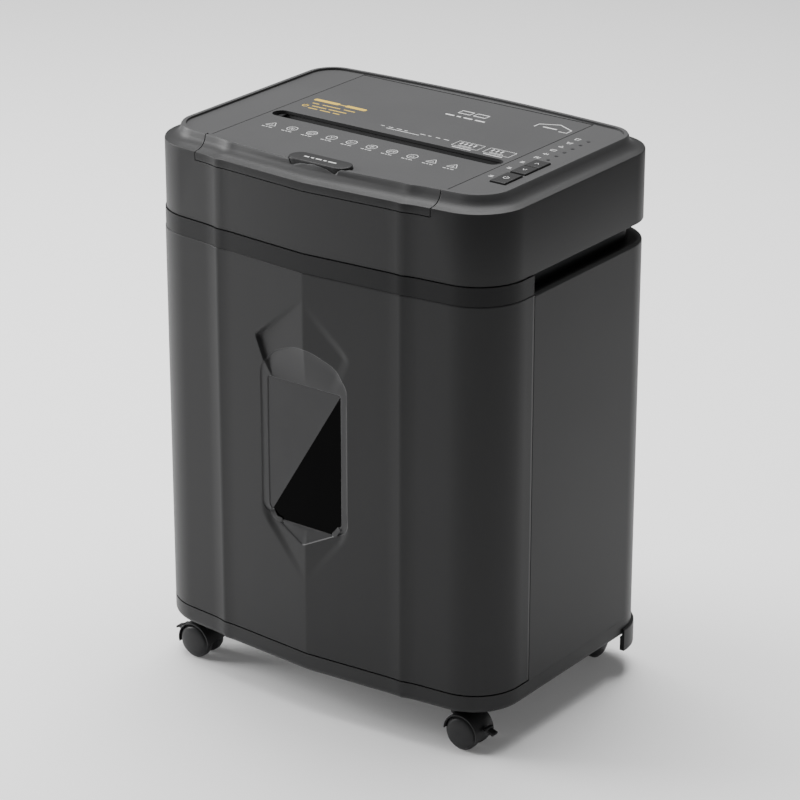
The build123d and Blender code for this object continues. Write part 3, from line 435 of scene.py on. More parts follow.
def slab(outline, place, thickness, soften):
    """Points and faces of a plate with softened edges: an outline, thickened along its normal."""
    centre = Vector((sum(p[0] for p in outline), sum(p[1] for p in outline))) / len(outline)
    levels = [(0.0, 1.0), (0.0, 0.0), (soften, 0.0), (thickness - soften, 0.0), (thickness, 1.0)]
    points = []
    for height, shrink in levels:
        for x, y in outline:
            away = Vector((x, y)) - centre
            pull = away.normalized() * soften * shrink if away.length else away
            points.append(place @ Vector((x - pull.x, y - pull.y, height)))
    count = len(outline)
    faces = grid_faces(len(levels), count, closed=True)
    faces.append(tuple(range(count)))
    faces.append(tuple(range((len(levels) - 1) * count, len(levels) * count)))
    return points, faces


# ---------------------------------------------------------------- sizes
class CasingSizes(bpy.types.PropertyGroup):
    crease: FloatProperty(name="Crease", description="Distance of the creases from the middle",
                          default=0.0965, unit="LENGTH")
    crease_drop: FloatProperty(name="Crease drop",
                               description="How far the creases lie behind the prow",
                               default=0.0061, unit="LENGTH")
    hollow: FloatProperty(name="Hollow", description="Depth of the hollow beside each crease",
                          default=0.0011, unit="LENGTH")
    hollow_run: FloatProperty(name="Hollow run", description="Width of the hollow inside each crease",
                              default=0.0155, unit="LENGTH")
    ramp_run: FloatProperty(name="Ramp run", description="Width of the ramp outside each crease",
                            default=0.016, unit="LENGTH")
    ramp_drop: FloatProperty(name="Ramp drop", description="Depth of the ramp outside each crease",
                             default=0.0036, unit="LENGTH")
    flank_drop: FloatProperty(name="Flank drop",
                              description="How far the flank's end lies behind the prow",
                              default=0.0165, unit="LENGTH")
    corner: FloatProperty(name="Front corner", description="Radius of the front corners",
                          default=0.047, unit="LENGTH")
    cell: FloatProperty(name="Cell", description="Width of the mesh cells on the front",
                        default=0.003, unit="LENGTH")


class WindowSizes(bpy.types.PropertyGroup):
    middle: FloatProperty(name="Middle", description="Place of the window's middle, from the prow",
                          default=-0.003, unit="LENGTH")
    half: FloatProperty(name="Half width", description="Half width of the frame", default=0.0465,
                        unit="LENGTH")
    top: FloatProperty(name="Top", description="Height where the frame's sides end", default=0.3135,
                       unit="LENGTH")
    peak: FloatProperty(name="Peak", description="Height of the frame's upper edge at its middle",
                        default=0.3435, unit="LENGTH")
    low: FloatProperty(name="Low", description="Height where the frame's sides begin", default=0.1815,
                       unit="LENGTH")
    point: FloatProperty(name="Point", description="Height of the frame's lowest point", default=0.1585,
                         unit="LENGTH")
    glass_half: FloatProperty(name="Glass half width", description="Half width of the pane that shows",
                              default=0.0385, unit="LENGTH")
    glass_top: FloatProperty(name="Glass top", description="Height of the pane's upper edge",
                             default=0.305, unit="LENGTH")
    glass_low: FloatProperty(name="Glass foot", description="Height of the pane's lower edge",
                             default=0.1755, unit="LENGTH")
    glass_depth: FloatProperty(name="Glass depth", description="How far the pane lies behind the prow",
                               default=0.0052, unit="LENGTH")
    apex: FloatProperty(name="Apex", description="Height of the upper facets' tip", default=0.3858,
                        unit="LENGTH")
    wing: FloatProperty(name="Wing", description="Half width of the upper facets", default=0.055,
                        unit="LENGTH")
    wing_z: FloatProperty(name="Wing height", description="Height of the upper facets' wing tips",
                          default=0.3404, unit="LENGTH")
    foot: FloatProperty(name="Foot", description="Height of the lower facets' tip", default=0.1214,
                        unit="LENGTH")
    keel: FloatProperty(name="Keel", description="Extra slope of the facets beside the prow",
                        default=0.07)


class Tones(bpy.types.PropertyGroup):
    casing: FloatVectorProperty(name="Casing", description="Colour of the casing", subtype="COLOR",
                                default=(0.024, 0.024, 0.0245))
    # The lid's colour is also the painted lit tone of the head's top.
    lid: FloatVectorProperty(name="Lid", description="Colour of the lid", subtype="COLOR",
                             default=(0.06, 0.06, 0.061))
    # Paler than the casing: painted highlight on the frame's ring.
    bezel_painted_highlight_tone: FloatVectorProperty(name="Bezel", description="Colour of the window's frame", subtype="COLOR",
                               default=(0.04, 0.04, 0.041))
    dark: FloatVectorProperty(name="Dark", description="Colour of the recess strip and inner trim",
                              subtype="COLOR", default=(0.011, 0.011, 0.0115))
    caster: FloatVectorProperty(name="Casters", description="Colour of the casters", subtype="COLOR",
                                default=(0.03, 0.03, 0.031))
    ink: FloatVectorProperty(name="Ink", description="Colour of the printed marks", subtype="COLOR",
                             default=(0.62, 0.62, 0.62))
    warning: FloatVectorProperty(name="Caution ink", description="Colour of the caution marks",
                                 subtype="COLOR", default=(0.62, 0.42, 0.05))


class StageSizes(bpy.types.PropertyGroup):
    azimuth: FloatProperty(name="Azimuth",
                           description="Direction of the camera, from the front to the right",
                           default=radians(36.6), subtype="ANGLE")
    elevation: FloatProperty(name="Elevation", description="Height of the camera above the horizon",
                             default=radians(22.37), subtype="ANGLE")
    distance: FloatProperty(name="Distance", description="Distance of the camera from the middle",
                            default=2.911, unit="LENGTH")
    lens: FloatProperty(name="Lens", description="Focal length on a 36 mm sensor", default=149.8)


# ---------------------------------------------------------------- casing outline
def front_depth(x, sizes):
    """How far the casing's front lies behind the prow, at a distance from the middle."""
    x = abs(x)
    start = sizes.crease - sizes.hollow_run
    slope = (sizes.crease_drop + sizes.hollow) / sizes.crease
    half = BOXES["base_plinth"][1].x
    flank_x = sizes.crease + sizes.ramp_run
    flank_y = sizes.crease_drop + sizes.ramp_drop
    flank_slope = (sizes.flank_drop - flank_y) / (half - flank_x)
    if x <= start:
        return slope * x
    if x <= sizes.crease:
        t = (x - start) / sizes.hollow_run
        return slope * x - sizes.hollow * t * t
    if x <= flank_x:
        t = (flank_x - x) / sizes.ramp_run
        rest = flank_y - flank_slope * (flank_x - x)
        return rest + (sizes.crease_drop - (flank_y - flank_slope * sizes.ramp_run)) * t * t
    return flank_y + flank_slope * (x - flank_x)


def front_slope(x, sizes):
    """Slope of the casing's front at a distance from the middle."""
    step = 1e-5
    return (front_depth(x + step, sizes) - front_depth(x - step, sizes)) / (2 * step)


def half_outline(sizes, inset, back):
    """Points (x, y) from the middle of the prow round the right corner to the side seam."""
    low, high = BOXES["base_plinth"]
    front, half = low.y, high.x
    flank_x = sizes.crease + sizes.ramp_run
    flank_y = sizes.crease_drop + sizes.ramp_drop
    tilt = atan2(sizes.flank_drop - flank_y, half - flank_x)
    corner_x = half - sizes.corner
    line_y = front + flank_y + (corner_x - flank_x) * tan(tilt)
    corner_y = line_y + sizes.corner / cos(tilt)
    tangent = corner_x + sizes.corner * sin(tilt)
    points = []
    stops = [0.0, sizes.crease - sizes.hollow_run, sizes.crease, flank_x, tangent]
    for index, (low_x, high_x) in enumerate(zip(stops, stops[1:])):
        count = max(3, round((high_x - low_x) / sizes.cell))
        if index in (1, 2):
            count = 8
        for step in range(count):
            x = low_x + (high_x - low_x) * step / count
            slope = 0.0 if x == 0.0 else front_slope(x + 1e-4, sizes)
            shift = inset * hypot(1.0, slope)
            pulled = x - (inset * sin(tilt) * x / tangent)
            points.append((pulled, front + front_depth(x, sizes) + shift))
    for step in range(17):
        angle = tilt + (pi / 2 - tilt) * step / 16
        radius = sizes.corner - inset
        points.append((corner_x + radius * sin(angle), corner_y - radius * cos(angle)))
    count = 6
    last = points[-1][1]
    for step in range(1, count + 1):
        points.append((half - inset, last + (back - last) * step / count))
    return points


# ---------------------------------------------------------------- operators
class BuildFinishes(bpy.types.Operator):
    """Make the materials and give each carried-over piece its own"""
    bl_idname = "shredder.finishes"
    bl_label = "Finishes"

    def execute(self, context):
        make_finishes(context.scene.shredder_tones)
        own = {"lid_panel": "lid_plastic", "lid_front_bar": "head_plastic_painted_top",
               "head_housing": "head_plastic_painted_top"}
        for entry in frame["record"]["subparts"]:
            node = frame["nodes"][entry["node"]]
            slot = entry["material_slot"]
            if slot == "smoked_glass":
                continue
            node.data.materials.clear()
            node.data.materials.append(FINISHES[own.get(entry["node"], slot)])
            smooth_shading(node)
        return {"FINISHED"}


def smooth_shading(node, limit=28.0):
    """Shade a carried-over piece smooth across gentle edges, by a modifier."""
    group = bpy.data.node_groups.get("gentle_edges")
    if group is None:
        group = bpy.data.node_groups.new("gentle_edges", "GeometryNodeTree")
        group.interface.new_socket("Geometry", in_out="INPUT", socket_type="NodeSocketGeometry")
        group.interface.new_socket("Geometry", in_out="OUTPUT", socket_type="NodeSocketGeometry")
        start = group.nodes.new("NodeGroupInput")
        end = group.nodes.new("NodeGroupOutput")
        weld = group.nodes.new("GeometryNodeMergeByDistance")
        weld.inputs["Distance"].default_value = 1e-6
        angle = group.nodes.new("GeometryNodeInputMeshEdgeAngle")
        sharp = group.nodes.new("FunctionNodeCompare")
        sharp.operation = "GREATER_THAN"
        sharp.inputs[1].default_value = radians(limit)
        faces = group.nodes.new("GeometryNodeSetShadeSmooth")
        edges = group.nodes.new("GeometryNodeSetShadeSmooth")
        edges.domain = "EDGE"
        edges.inputs["Shade Smooth"].default_value = False
        links = group.links
        links.new(start.outputs[0], weld.inputs["Geometry"])
        links.new(weld.outputs["Geometry"], faces.inputs["Geometry"])
        links.new(faces.outputs["Geometry"], edges.inputs["Geometry"])
        links.new(angle.outputs["Unsigned Angle"], sharp.inputs[0])
        links.new(sharp.outputs["Result"], edges.inputs["Selection"])
        links.new(edges.outputs["Geometry"], end.inputs[0])
    node.modifiers.new("gentle_edges", "NODES").node_group = group


def eased(share):
    """Smooth rise from 0 to 1."""
    share = min(1.0, max(0.0, share))
    return share * share * (3.0 - 2.0 * share)


class BuildFrontPanel(bpy.types.Operator):
    """Front of the bin: prow, creases, facets and the window's dished frame"""
    bl_idname = "shredder.front_panel"
    bl_label = "Bin front"

    def execute(self, context):
        sizes = context.scene.shredder_casing
        window = context.scene.shredder_window
        low, high = BOXES["bin_front_panel"]
        points, faces = join_lists(self.shell(sizes, low, high, window),
                                   self.window_patch(sizes, window))
        piece = solid("bin_front_skin", points, faces, "charcoal_plastic", "bin", smooth=22.0)
        # The frame's ring inside the mouth takes the paler plastic, a painted highlight.
        piece.data.materials.append(FINISHES["bezel_plastic_painted_highlight"])
        rim = mouth_outline(window)
        for face in piece.data.polygons:
            if inside_outline(Vector((face.center.x, face.center.z)), rim) and face.center.y < -0.1:
                face.material_index = 1
        thicken = piece.modifiers.new("wall", "SOLIDIFY")
        thicken.thickness = 2.2 * MM
        thicken.offset = -1.0
        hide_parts("bin_front_panel")
        return {"FINISHED"}

    patch_half = 60 * MM
    patch_margin = 6 * MM
    patch_cells = (76, 176)
    blend_steps = 44

    def patch_lines(self, window):
        """Borders of the patch round the window, and its numbers of cells."""
        return (self.patch_half, window.foot - self.patch_margin, window.apex + self.patch_margin,
                *self.patch_cells)

    @staticmethod
    def facet_depth(x, z, window):
        """How deep the facets above and below the window lie under the prow's faces."""
        reach = abs(x)
        left = x < 0.0
        wing = window.wing if left else window.wing - 0.006
        rise = (window.apex - window.wing_z) / wing
        under = (window.apex - rise * reach) - z
        side = wing - 0.43 * max(0.0, window.wing_z - z) - reach
        if under > 0.0 and side > 0.0 and z > window.low + 0.02:
            soft = (0.004, 0.0025) if left else (0.012, 0.012)
            share = 1.0 if left else 0.6
            return share * window.keel * reach * eased(under / soft[0]) * eased(side / soft[1])
        span = 0.0512 if left else 0.045
        over = z - (window.foot + (window.low - 0.005 - window.foot) / span * reach)
        if over > 0.0 and reach < span and z < window.low + 0.02:
            inside = eased((span - reach) / 0.012) * eased((window.low + 0.02 - z) / 0.012)
            return 0.8 * window.keel * reach * eased(over / 0.012) * inside
        return 0.0

    def shell(self, sizes, low, high, window):
        """Wall of the panel, with its rounded top edge and its flanges, less the window's patch."""
        border, foot, top, across, upwards = self.patch_lines(window)
        flange = 6.5 * MM
        rows = [(low.z + 2.5 * MM, flange), (low.z, flange), (low.z, 0.6 * MM), (low.z + 0.6 * MM, 0.0),
                (foot - 0.03, 0.0)]
        rows += [(foot + (top - foot) * step / upwards, 0.0) for step in range(upwards + 1)]
        rows += [(high.z - 1.2 * MM, 0.0), (high.z - 0.35 * MM, 0.35 * MM), (high.z, 1.2 * MM),
                 (high.z, flange), (high.z - 2.5 * MM, flange)]
        span = [border * (2 * step / across - 1) for step in range(across + 1)]
        points, faces = [], []
        for z, inset in rows:
            right = [p for p in half_outline(sizes, inset, high.y) if p[0] > border + 1e-4]
            middle = [(x, low.y + front_depth(x, sizes) + inset) for x in span]
            line = [(-x, y) for x, y in reversed(right)] + middle + right
            points += [Vector((x, y, z)) for x, y in line]
        columns = len(line)
        first = len([p for p in half_outline(sizes, 0.0, high.y) if p[0] > border + 1e-4])
        for row in range(len(rows) - 1):
            inside_z = rows[row][0] >= foot - 1e-6 and rows[row + 1][0] <= top + 1e-6
            for column in range(columns - 1):
                if inside_z and first <= column < first + across:
                    continue
                a = row * columns + column
                faces.append((a, a + 1, a + 1 + columns, a + columns))
        return points, faces

    def window_patch(self, sizes, window):
        """Rings from the patch's border over the facets to the frame, its bevels and the glass."""
        border, foot, top, across, upwards = self.patch_lines(window)
        front = BOXES["bin_front_panel"][0].y
        outer = [(border * (2 * step / across - 1), foot) for step in range(across)]
        outer += [(border, foot + (top - foot) * step / upwards) for step in range(upwards)]
        outer += [(border * (1 - 2 * step / across), top) for step in range(across)]
        outer += [(-border, top - (top - foot) * step / upwards) for step in range(upwards)]
        mouth = mouth_outline(window)
        glass = glass_outline(window)
        middle = Vector((window.middle, 0.5 * (window.top + window.low)))
        mouth_ring = [cast_ray(middle, Vector(p), mouth) for p in outer]
        glass_ring = [cast_ray(middle, Vector(p), glass) for p in outer]
        rings = []
        for step in range(self.blend_steps + 1):
            t = step / self.blend_steps
            ring = []
            for edge, lip in zip(outer, mouth_ring):
                x = edge[0] + (lip[0] - edge[0]) * t
                z = edge[1] + (lip[1] - edge[1]) * t
                facet = self.facet_depth(x, z, window) * min(1.0, t * 8.0)
                ring.append(Vector((x, front + front_depth(x, sizes) + facet, z)))
            rings.append(ring)
        pane = front + window.glass_depth
        edge_ring = rings[-1]
        # the frame's rolled edge, then its bevel, then the pane's seat
        for inward, depth in ((0.4, 0.12), (0.8, 0.45), (1.2, 0.8), (1.7, 0.95)):
            rings.append([inset_point(start, lip, goal, inward * MM, depth * MM)
                          for start, lip, goal in zip(edge_ring, mouth_ring, glass_ring)])
        last = rings[-1]
        for start_t in (0.25, 0.5, 0.72, 0.86):
            rings.append([Vector((a.x + (g[0] - a.x) * start_t,
                                  a.y + (pane - 0.7 * MM - a.y) * start_t,
                                  a.z + (g[1] - a.z) * start_t)) for a, g in zip(last, glass_ring)])
        for back, proud in ((0.7, 0.6), (0.3, 0.3), (0.1, 0.05)):
            ring = []
            for a, g in zip(last, glass_ring):
                away = Vector((a.x - g[0], a.z - g[1])).normalized() * back * MM
                ring.append(Vector((g[0] + away.x, pane - proud * MM, g[1] + away.y)))
            rings.append(ring)
        rings.append([Vector((g[0], pane + 0.1 * MM, g[1])) for g in glass_ring])
        rings.append([Vector((g[0], pane + 1.2 * MM, g[1])) for g in glass_ring])
        points = [p for ring in rings for p in ring]
        return points, grid_faces(len(rings), len(outer), closed=True)


def mouth_outline(window):
    """Outline of the window's frame: straight sides, an arched top and a pointed foot."""
    w, o = window.half, window.middle
    return rounded([(o - w, window.low), (o, window.point), (o + w, window.low), (o + w, window.top),
                    (o + 0.72 * w, window.top + 0.016), (o, window.peak),
                    (o - 0.72 * w, window.top + 0.016), (o - w, window.top)],
                   [0.012, 0.006, 0.012, 0.016, 0.03, 0.05, 0.03, 0.016], 8)


def inside_outline(point, outline):
    """Whether a point lies inside a closed outline."""
    inside = False
    for index, (x, z) in enumerate(outline):
        last_x, last_z = outline[index - 1]
        if (z > point.y) != (last_z > point.y):
            if point.x < x + (point.y - z) / (last_z - z) * (last_x - x):
                inside = not inside
    return inside


def inset_point(start, lip, goal, inward, depth):
    """Point moved from the frame's edge towards the glass, and back into the panel."""
    toward = Vector(goal) - Vector(lip)
    step = toward.normalized() * min(inward, 0.6 * toward.length)
    return Vector((start.x + step.x, start.y + depth, start.z + step.y))


def glass_outline(window, grow=0.0):
    """Outline of the pane: straight top, sides, and a foot with cut corners."""
    o, g = window.middle, window.glass_half + grow
    low, top = window.glass_low - grow, window.glass_top + grow
    cut, rise = 0.0078, 0.0108
    return rounded([(o - g, low + rise), (o - g + cut, low), (o + g - cut, low), (o + g, low + rise),
                    (o + g, top), (o - g, top)], [0.006, 0.005, 0.005, 0.006, 0.002, 0.002], 5)


def cast_ray(start, through, outline):
    """Where a ray from a point inside a closed outline crosses it."""
    ray = through - start
    best = None
    count = len(outline)
    for index in range(count):
        a = Vector(outline[index])
        b = Vector(outline[(index + 1) % count])
        side = b - a
        cross = ray.x * side.y - ray.y * side.x
        if abs(cross) < 1e-15:
            continue
        along = ((a.x - start.x) * side.y - (a.y - start.y) * side.x) / cross
        share = ((a.x - start.x) * ray.y - (a.y - start.y) * ray.x) / cross
        if along > 0.0 and -1e-9 <= share <= 1.0 + 1e-9 and (best is None or along > best):
            best = along
    if best is None:
        raise ValueError("the ray does not cross the outline")
    crossing = start + ray * best
    return crossing.x, crossing.y


class BuildWindow(bpy.types.Operator):
    """Smoked window of the bin, with a softened front edge"""
    bl_idname = "shredder.window"
    bl_label = "Bin window"

    def execute(self, context):
        window = context.scene.shredder_window
        front = BOXES["bin_front_panel"][0].y + window.glass_depth
        o, g = window.middle, window.glass_half
        # Diagonal above which the pane carries its painted reflection.
        top_right = (o + g, window.glass_top - 1.0 * MM)
        low_left = (o - g + 2.0 * MM, window.glass_low + 6.0 * MM)
        slope = (top_right[1] - low_left[1]) / (top_right[0] - low_left[0])
        FINISHES["smoked_glass"] = smoked_window("smoked_glass", top_right, slope)
        place = Matrix.Translation((0, front + 2.4 * MM, 0)) @ Matrix.Rotation(pi / 2, 4, "X")
        points, faces = slab(glass_outline(window, 0.4 * MM), place, 2.4 * MM, 0.3 * MM)
        pane = solid("bin_window_pane", points, faces, "smoked_glass", "bin")
        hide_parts("bin_window")
        return {"FINISHED"}


def joint(name):
    """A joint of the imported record."""
    return next(j for j in frame["record"]["behaviour"]["joints"] if j["name"] == name)


class BuildCasters(bpy.types.Operator):
    """Twin-wheel casters: hooded fenders, domed wheels and ribbed brake pedals"""
    bl_idname = "shredder.casters"
    bl_label = "Casters"

    def execute(self, context):
        for name in CASTERS:
            roll = joint(f"caster_{name}_roll")
            turn = joint(f"caster_{name}_turn")
            centre, axle = Vector(roll["pos_m"]), Vector(roll["axis"]).normalized()
            stem = Vector(turn["pos_m"])
            trail = Vector((centre.x - stem.x, centre.y - stem.y, 0.0)).normalized()
            self.wheels(name, centre, axle)
            self.hood(name, centre, axle, stem, trail)
        for name in CASTERS[:2]:
            self.pedal(name)
        return {"FINISHED"}

    @staticmethod
    def wheels(name, centre, axle):
        """Two discs with a rounded tread and a domed face each."""
        low, high = BOXES[f"caster_{name}_wheels"]
        radius = (high.z - low.z) / 2
        half = abs((high - low).dot(axle)) / 2
        inner = 4.2 * MM
        dome = []
        for step in range(9):
            angle = pi / 2 * step / 8
            dome.append(((radius - 1.6 * MM) * cos(angle), half - 3.6 * MM + 3.4 * MM * sin(angle)))
        side = [(0.4 * MM, inner), (radius - 1.2 * MM, inner), (radius - 0.3 * MM, inner + 0.5 * MM),
                (radius, inner + 1.4 * MM), (radius, half - 5.4 * MM),
                (radius - 0.3 * MM, half - 4.6 * MM),
                (radius - 1.0 * MM, half - 4.3 * MM), (radius - 1.3 * MM, half - 3.9 * MM)]
        profile = side + dome[:-1] + [(0.4 * MM, half - 0.2 * MM)]
        meshes = []
        for sign in (1, -1):
            meshes.append(lathe([(r, sign * t) for r, t in profile], centre, axle, UP))
        points, faces = join_lists(*meshes)
        piece = solid(f"{name}_caster_discs", points, faces, "caster_plastic",
                      f"caster_{name}_wheelset", smooth=40.0)
        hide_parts(f"caster_{name}_wheels")

    @staticmethod
    def hood(name, centre, axle, stem, trail):
        """Fender over both wheels, the web between them, the king post and the axle's ends."""
        top = BOXES[f"caster_{name}_hood"][1].z
        outer, inner, half = 17.6 * MM, 16.3 * MM, 12.9 * MM
        rim = 0.5 * MM
        fender = [(inner, half), (inner + 0.2 * MM, half + 0.1 * MM), (outer - rim, half + 0.1 * MM),
                  (outer, half - rim), (outer, -half + rim), (outer - rim, -half - 0.1 * MM),
                  (inner + 0.2 * MM, -half - 0.1 * MM), (inner, -half)]
        side = axle.cross(Vector((0, 0, 1)))
        toward = 1.0 if side.dot(trail) > 0 else -1.0
        lead, rear = radians(86), radians(104)
        start = -rear if toward < 0 else -lead
        arc = lathe(fender, centre, axle, UP, start, lead + rear, 48)
        web_t = 3.3 * MM
        web = [(2.6 * MM, -web_t), (inner + 0.4 * MM, -web_t), (inner + 0.4 * MM, web_t),
               (2.6 * MM, web_t)]
        wall = lathe(web, centre, axle, UP, start, lead + rear, 48)
        hub = [(0.2 * MM, -half), (2.3 * MM, -half), (2.45 * MM, -half + 0.3 * MM),
               (2.45 * MM, half - 0.3 * MM), (2.3 * MM, half), (0.2 * MM, half)]
        pin = lathe(hub, centre, axle, UP, steps=24)
        collar_low, collar_high = centre.z + 13.5 * MM, 38.6 * MM
        collar = [(0.3 * MM, collar_low), (6.8 * MM, collar_low), (7.0 * MM, collar_low + 0.3 * MM),
                  (7.0 * MM, collar_high - 0.4 * MM), (6.6 * MM, collar_high), (3.9 * MM, collar_high),
                  (3.9 * MM, top - 0.8 * MM), (3.3 * MM, top - 0.1 * MM), (0.3 * MM, top - 0.1 * MM)]
        post = lathe(collar, (stem.x, stem.y, 0.0), UP, (1, 0, 0), steps=40)
        points, faces = join_lists(arc, wall, pin, post)
        piece = solid(f"{name}_caster_fender", points, faces, "caster_plastic",
                      f"caster_{name}_swivel", smooth=40.0)
        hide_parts(f"caster_{name}_hood")

    @staticmethod
    def pedal(name):
        """Ribbed brake pedal on its pin."""
        tilt = joint(f"caster_{name}_brake_tilt")
        pivot = Vector(tilt["pos_m"])
        out = Vector((1.0 if pivot.x > 0 else -1.0, 0.0, 0.0))
        low, high = BOXES[f"caster_{name}_pedal"]
        reach = max(abs(low.x - pivot.x), abs(high.x - pivot.x)) - 0.2 * MM
        drop = pivot.z - low.z - 1.2 * MM
        run = Vector((out.x * reach, 0.0, -drop))
        length = run.length
        run.normalize()
        across = Vector((0.0, 1.0, 0.0))
        lift = run.cross(across) if run.cross(across).z > 0 else across.cross(run)
        half = 4.3 * MM
        outline = rounded([(0.6 * MM, -0.7 * half), (length, -half), (length, half),
                           (0.6 * MM, 0.7 * half)], [0.0005, 0.0014, 0.0014, 0.0005], 5)
        place = Matrix((
            (run.x, across.x, lift.x, pivot.x - 0.9 * MM * lift.x),
            (run.y, across.y, lift.y, pivot.y - 0.9 * MM * lift.y),
            (run.z, across.z, lift.z, pivot.z - 0.9 * MM * lift.z),
            (0, 0, 0, 1)))
        meshes = [slab(outline, place, 1.5 * MM, 0.25 * MM)]
        for index in range(4):
            at = length - (1.3 + 1.5 * index) * MM
            rib = rounded([(at - 0.35 * MM, -half * 0.86), (at + 0.35 * MM, -half * 0.86),
                           (at + 0.35 * MM, half * 0.86), (at - 0.35 * MM, half * 0.86)], 0.0003, 3)
            lifted = place @ Matrix.Translation((0, 0, 1.3 * MM))
            meshes.append(slab(rib, lifted, 0.6 * MM, 0.15 * MM))
        barrel = [(0.2 * MM, -4.3 * MM), (1.8 * MM, -4.3 * MM), (1.95 * MM, -4.1 * MM),
                  (1.95 * MM, 4.1 * MM), (1.8 * MM, 4.3 * MM), (0.2 * MM, 4.3 * MM)]
        meshes.append(lathe(barrel, pivot, across, UP, steps=28))
        pin = [(0.2 * MM, -6.8 * MM), (1.1 * MM, -6.8 * MM), (1.1 * MM, 6.8 * MM), (0.2 * MM, 6.8 * MM)]
        meshes.append(lathe(pin, pivot, across, UP, steps=20))
        points, faces = join_lists(*meshes)
        piece = solid(f"{name}_brake_pedal", points, faces, "caster_plastic", f"caster_{name}_brake")
        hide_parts(f"caster_{name}_pedal")


# ---------------------------------------------------------------- printed marks
def stroke(path, width, height, base, closed=False):
    """Thin raised line along a path on a level face."""
    points, faces = [], []
    count = len(path)
    for index, here in enumerate(path):
        here = Vector(here)
        before = Vector(path[index - 1]) if closed or index else here
        after = Vector(path[(index + 1) % count]) if closed or index < count - 1 else here
        along = (after - before).normalized()
        side = Vector((-along.y, along.x)) * width / 2
        for edge, level in ((side, 0.0), (side * 0.8, height), (-side * 0.8, height), (-side, 0.0)):
            points.append(Vector((here.x + edge.x, here.y + edge.y, base + level)))
    last = count if closed else count - 1
    for index in range(last):
        a = index * 4
        b = (index + 1) % count * 4
        for k in range(4):
            faces.append((a + k, a + (k + 1) % 4, b + (k + 1) % 4, b + k))
    if not closed:
        faces += [(0, 1, 2, 3), (4 * count - 1, 4 * count - 2, 4 * count - 3, 4 * count - 4)]
    return points, faces


def plate(outline, base, height):
    """Thin filled mark on a level face."""
    return slab(outline, Matrix.Translation((0, 0, base)), height, min(0.05 * MM, height / 3))


def circle(x, y, radius, steps=28):
    return [(x + radius * cos(tau * k / steps), y + radius * sin(tau * k / steps)) for k in range(steps)]


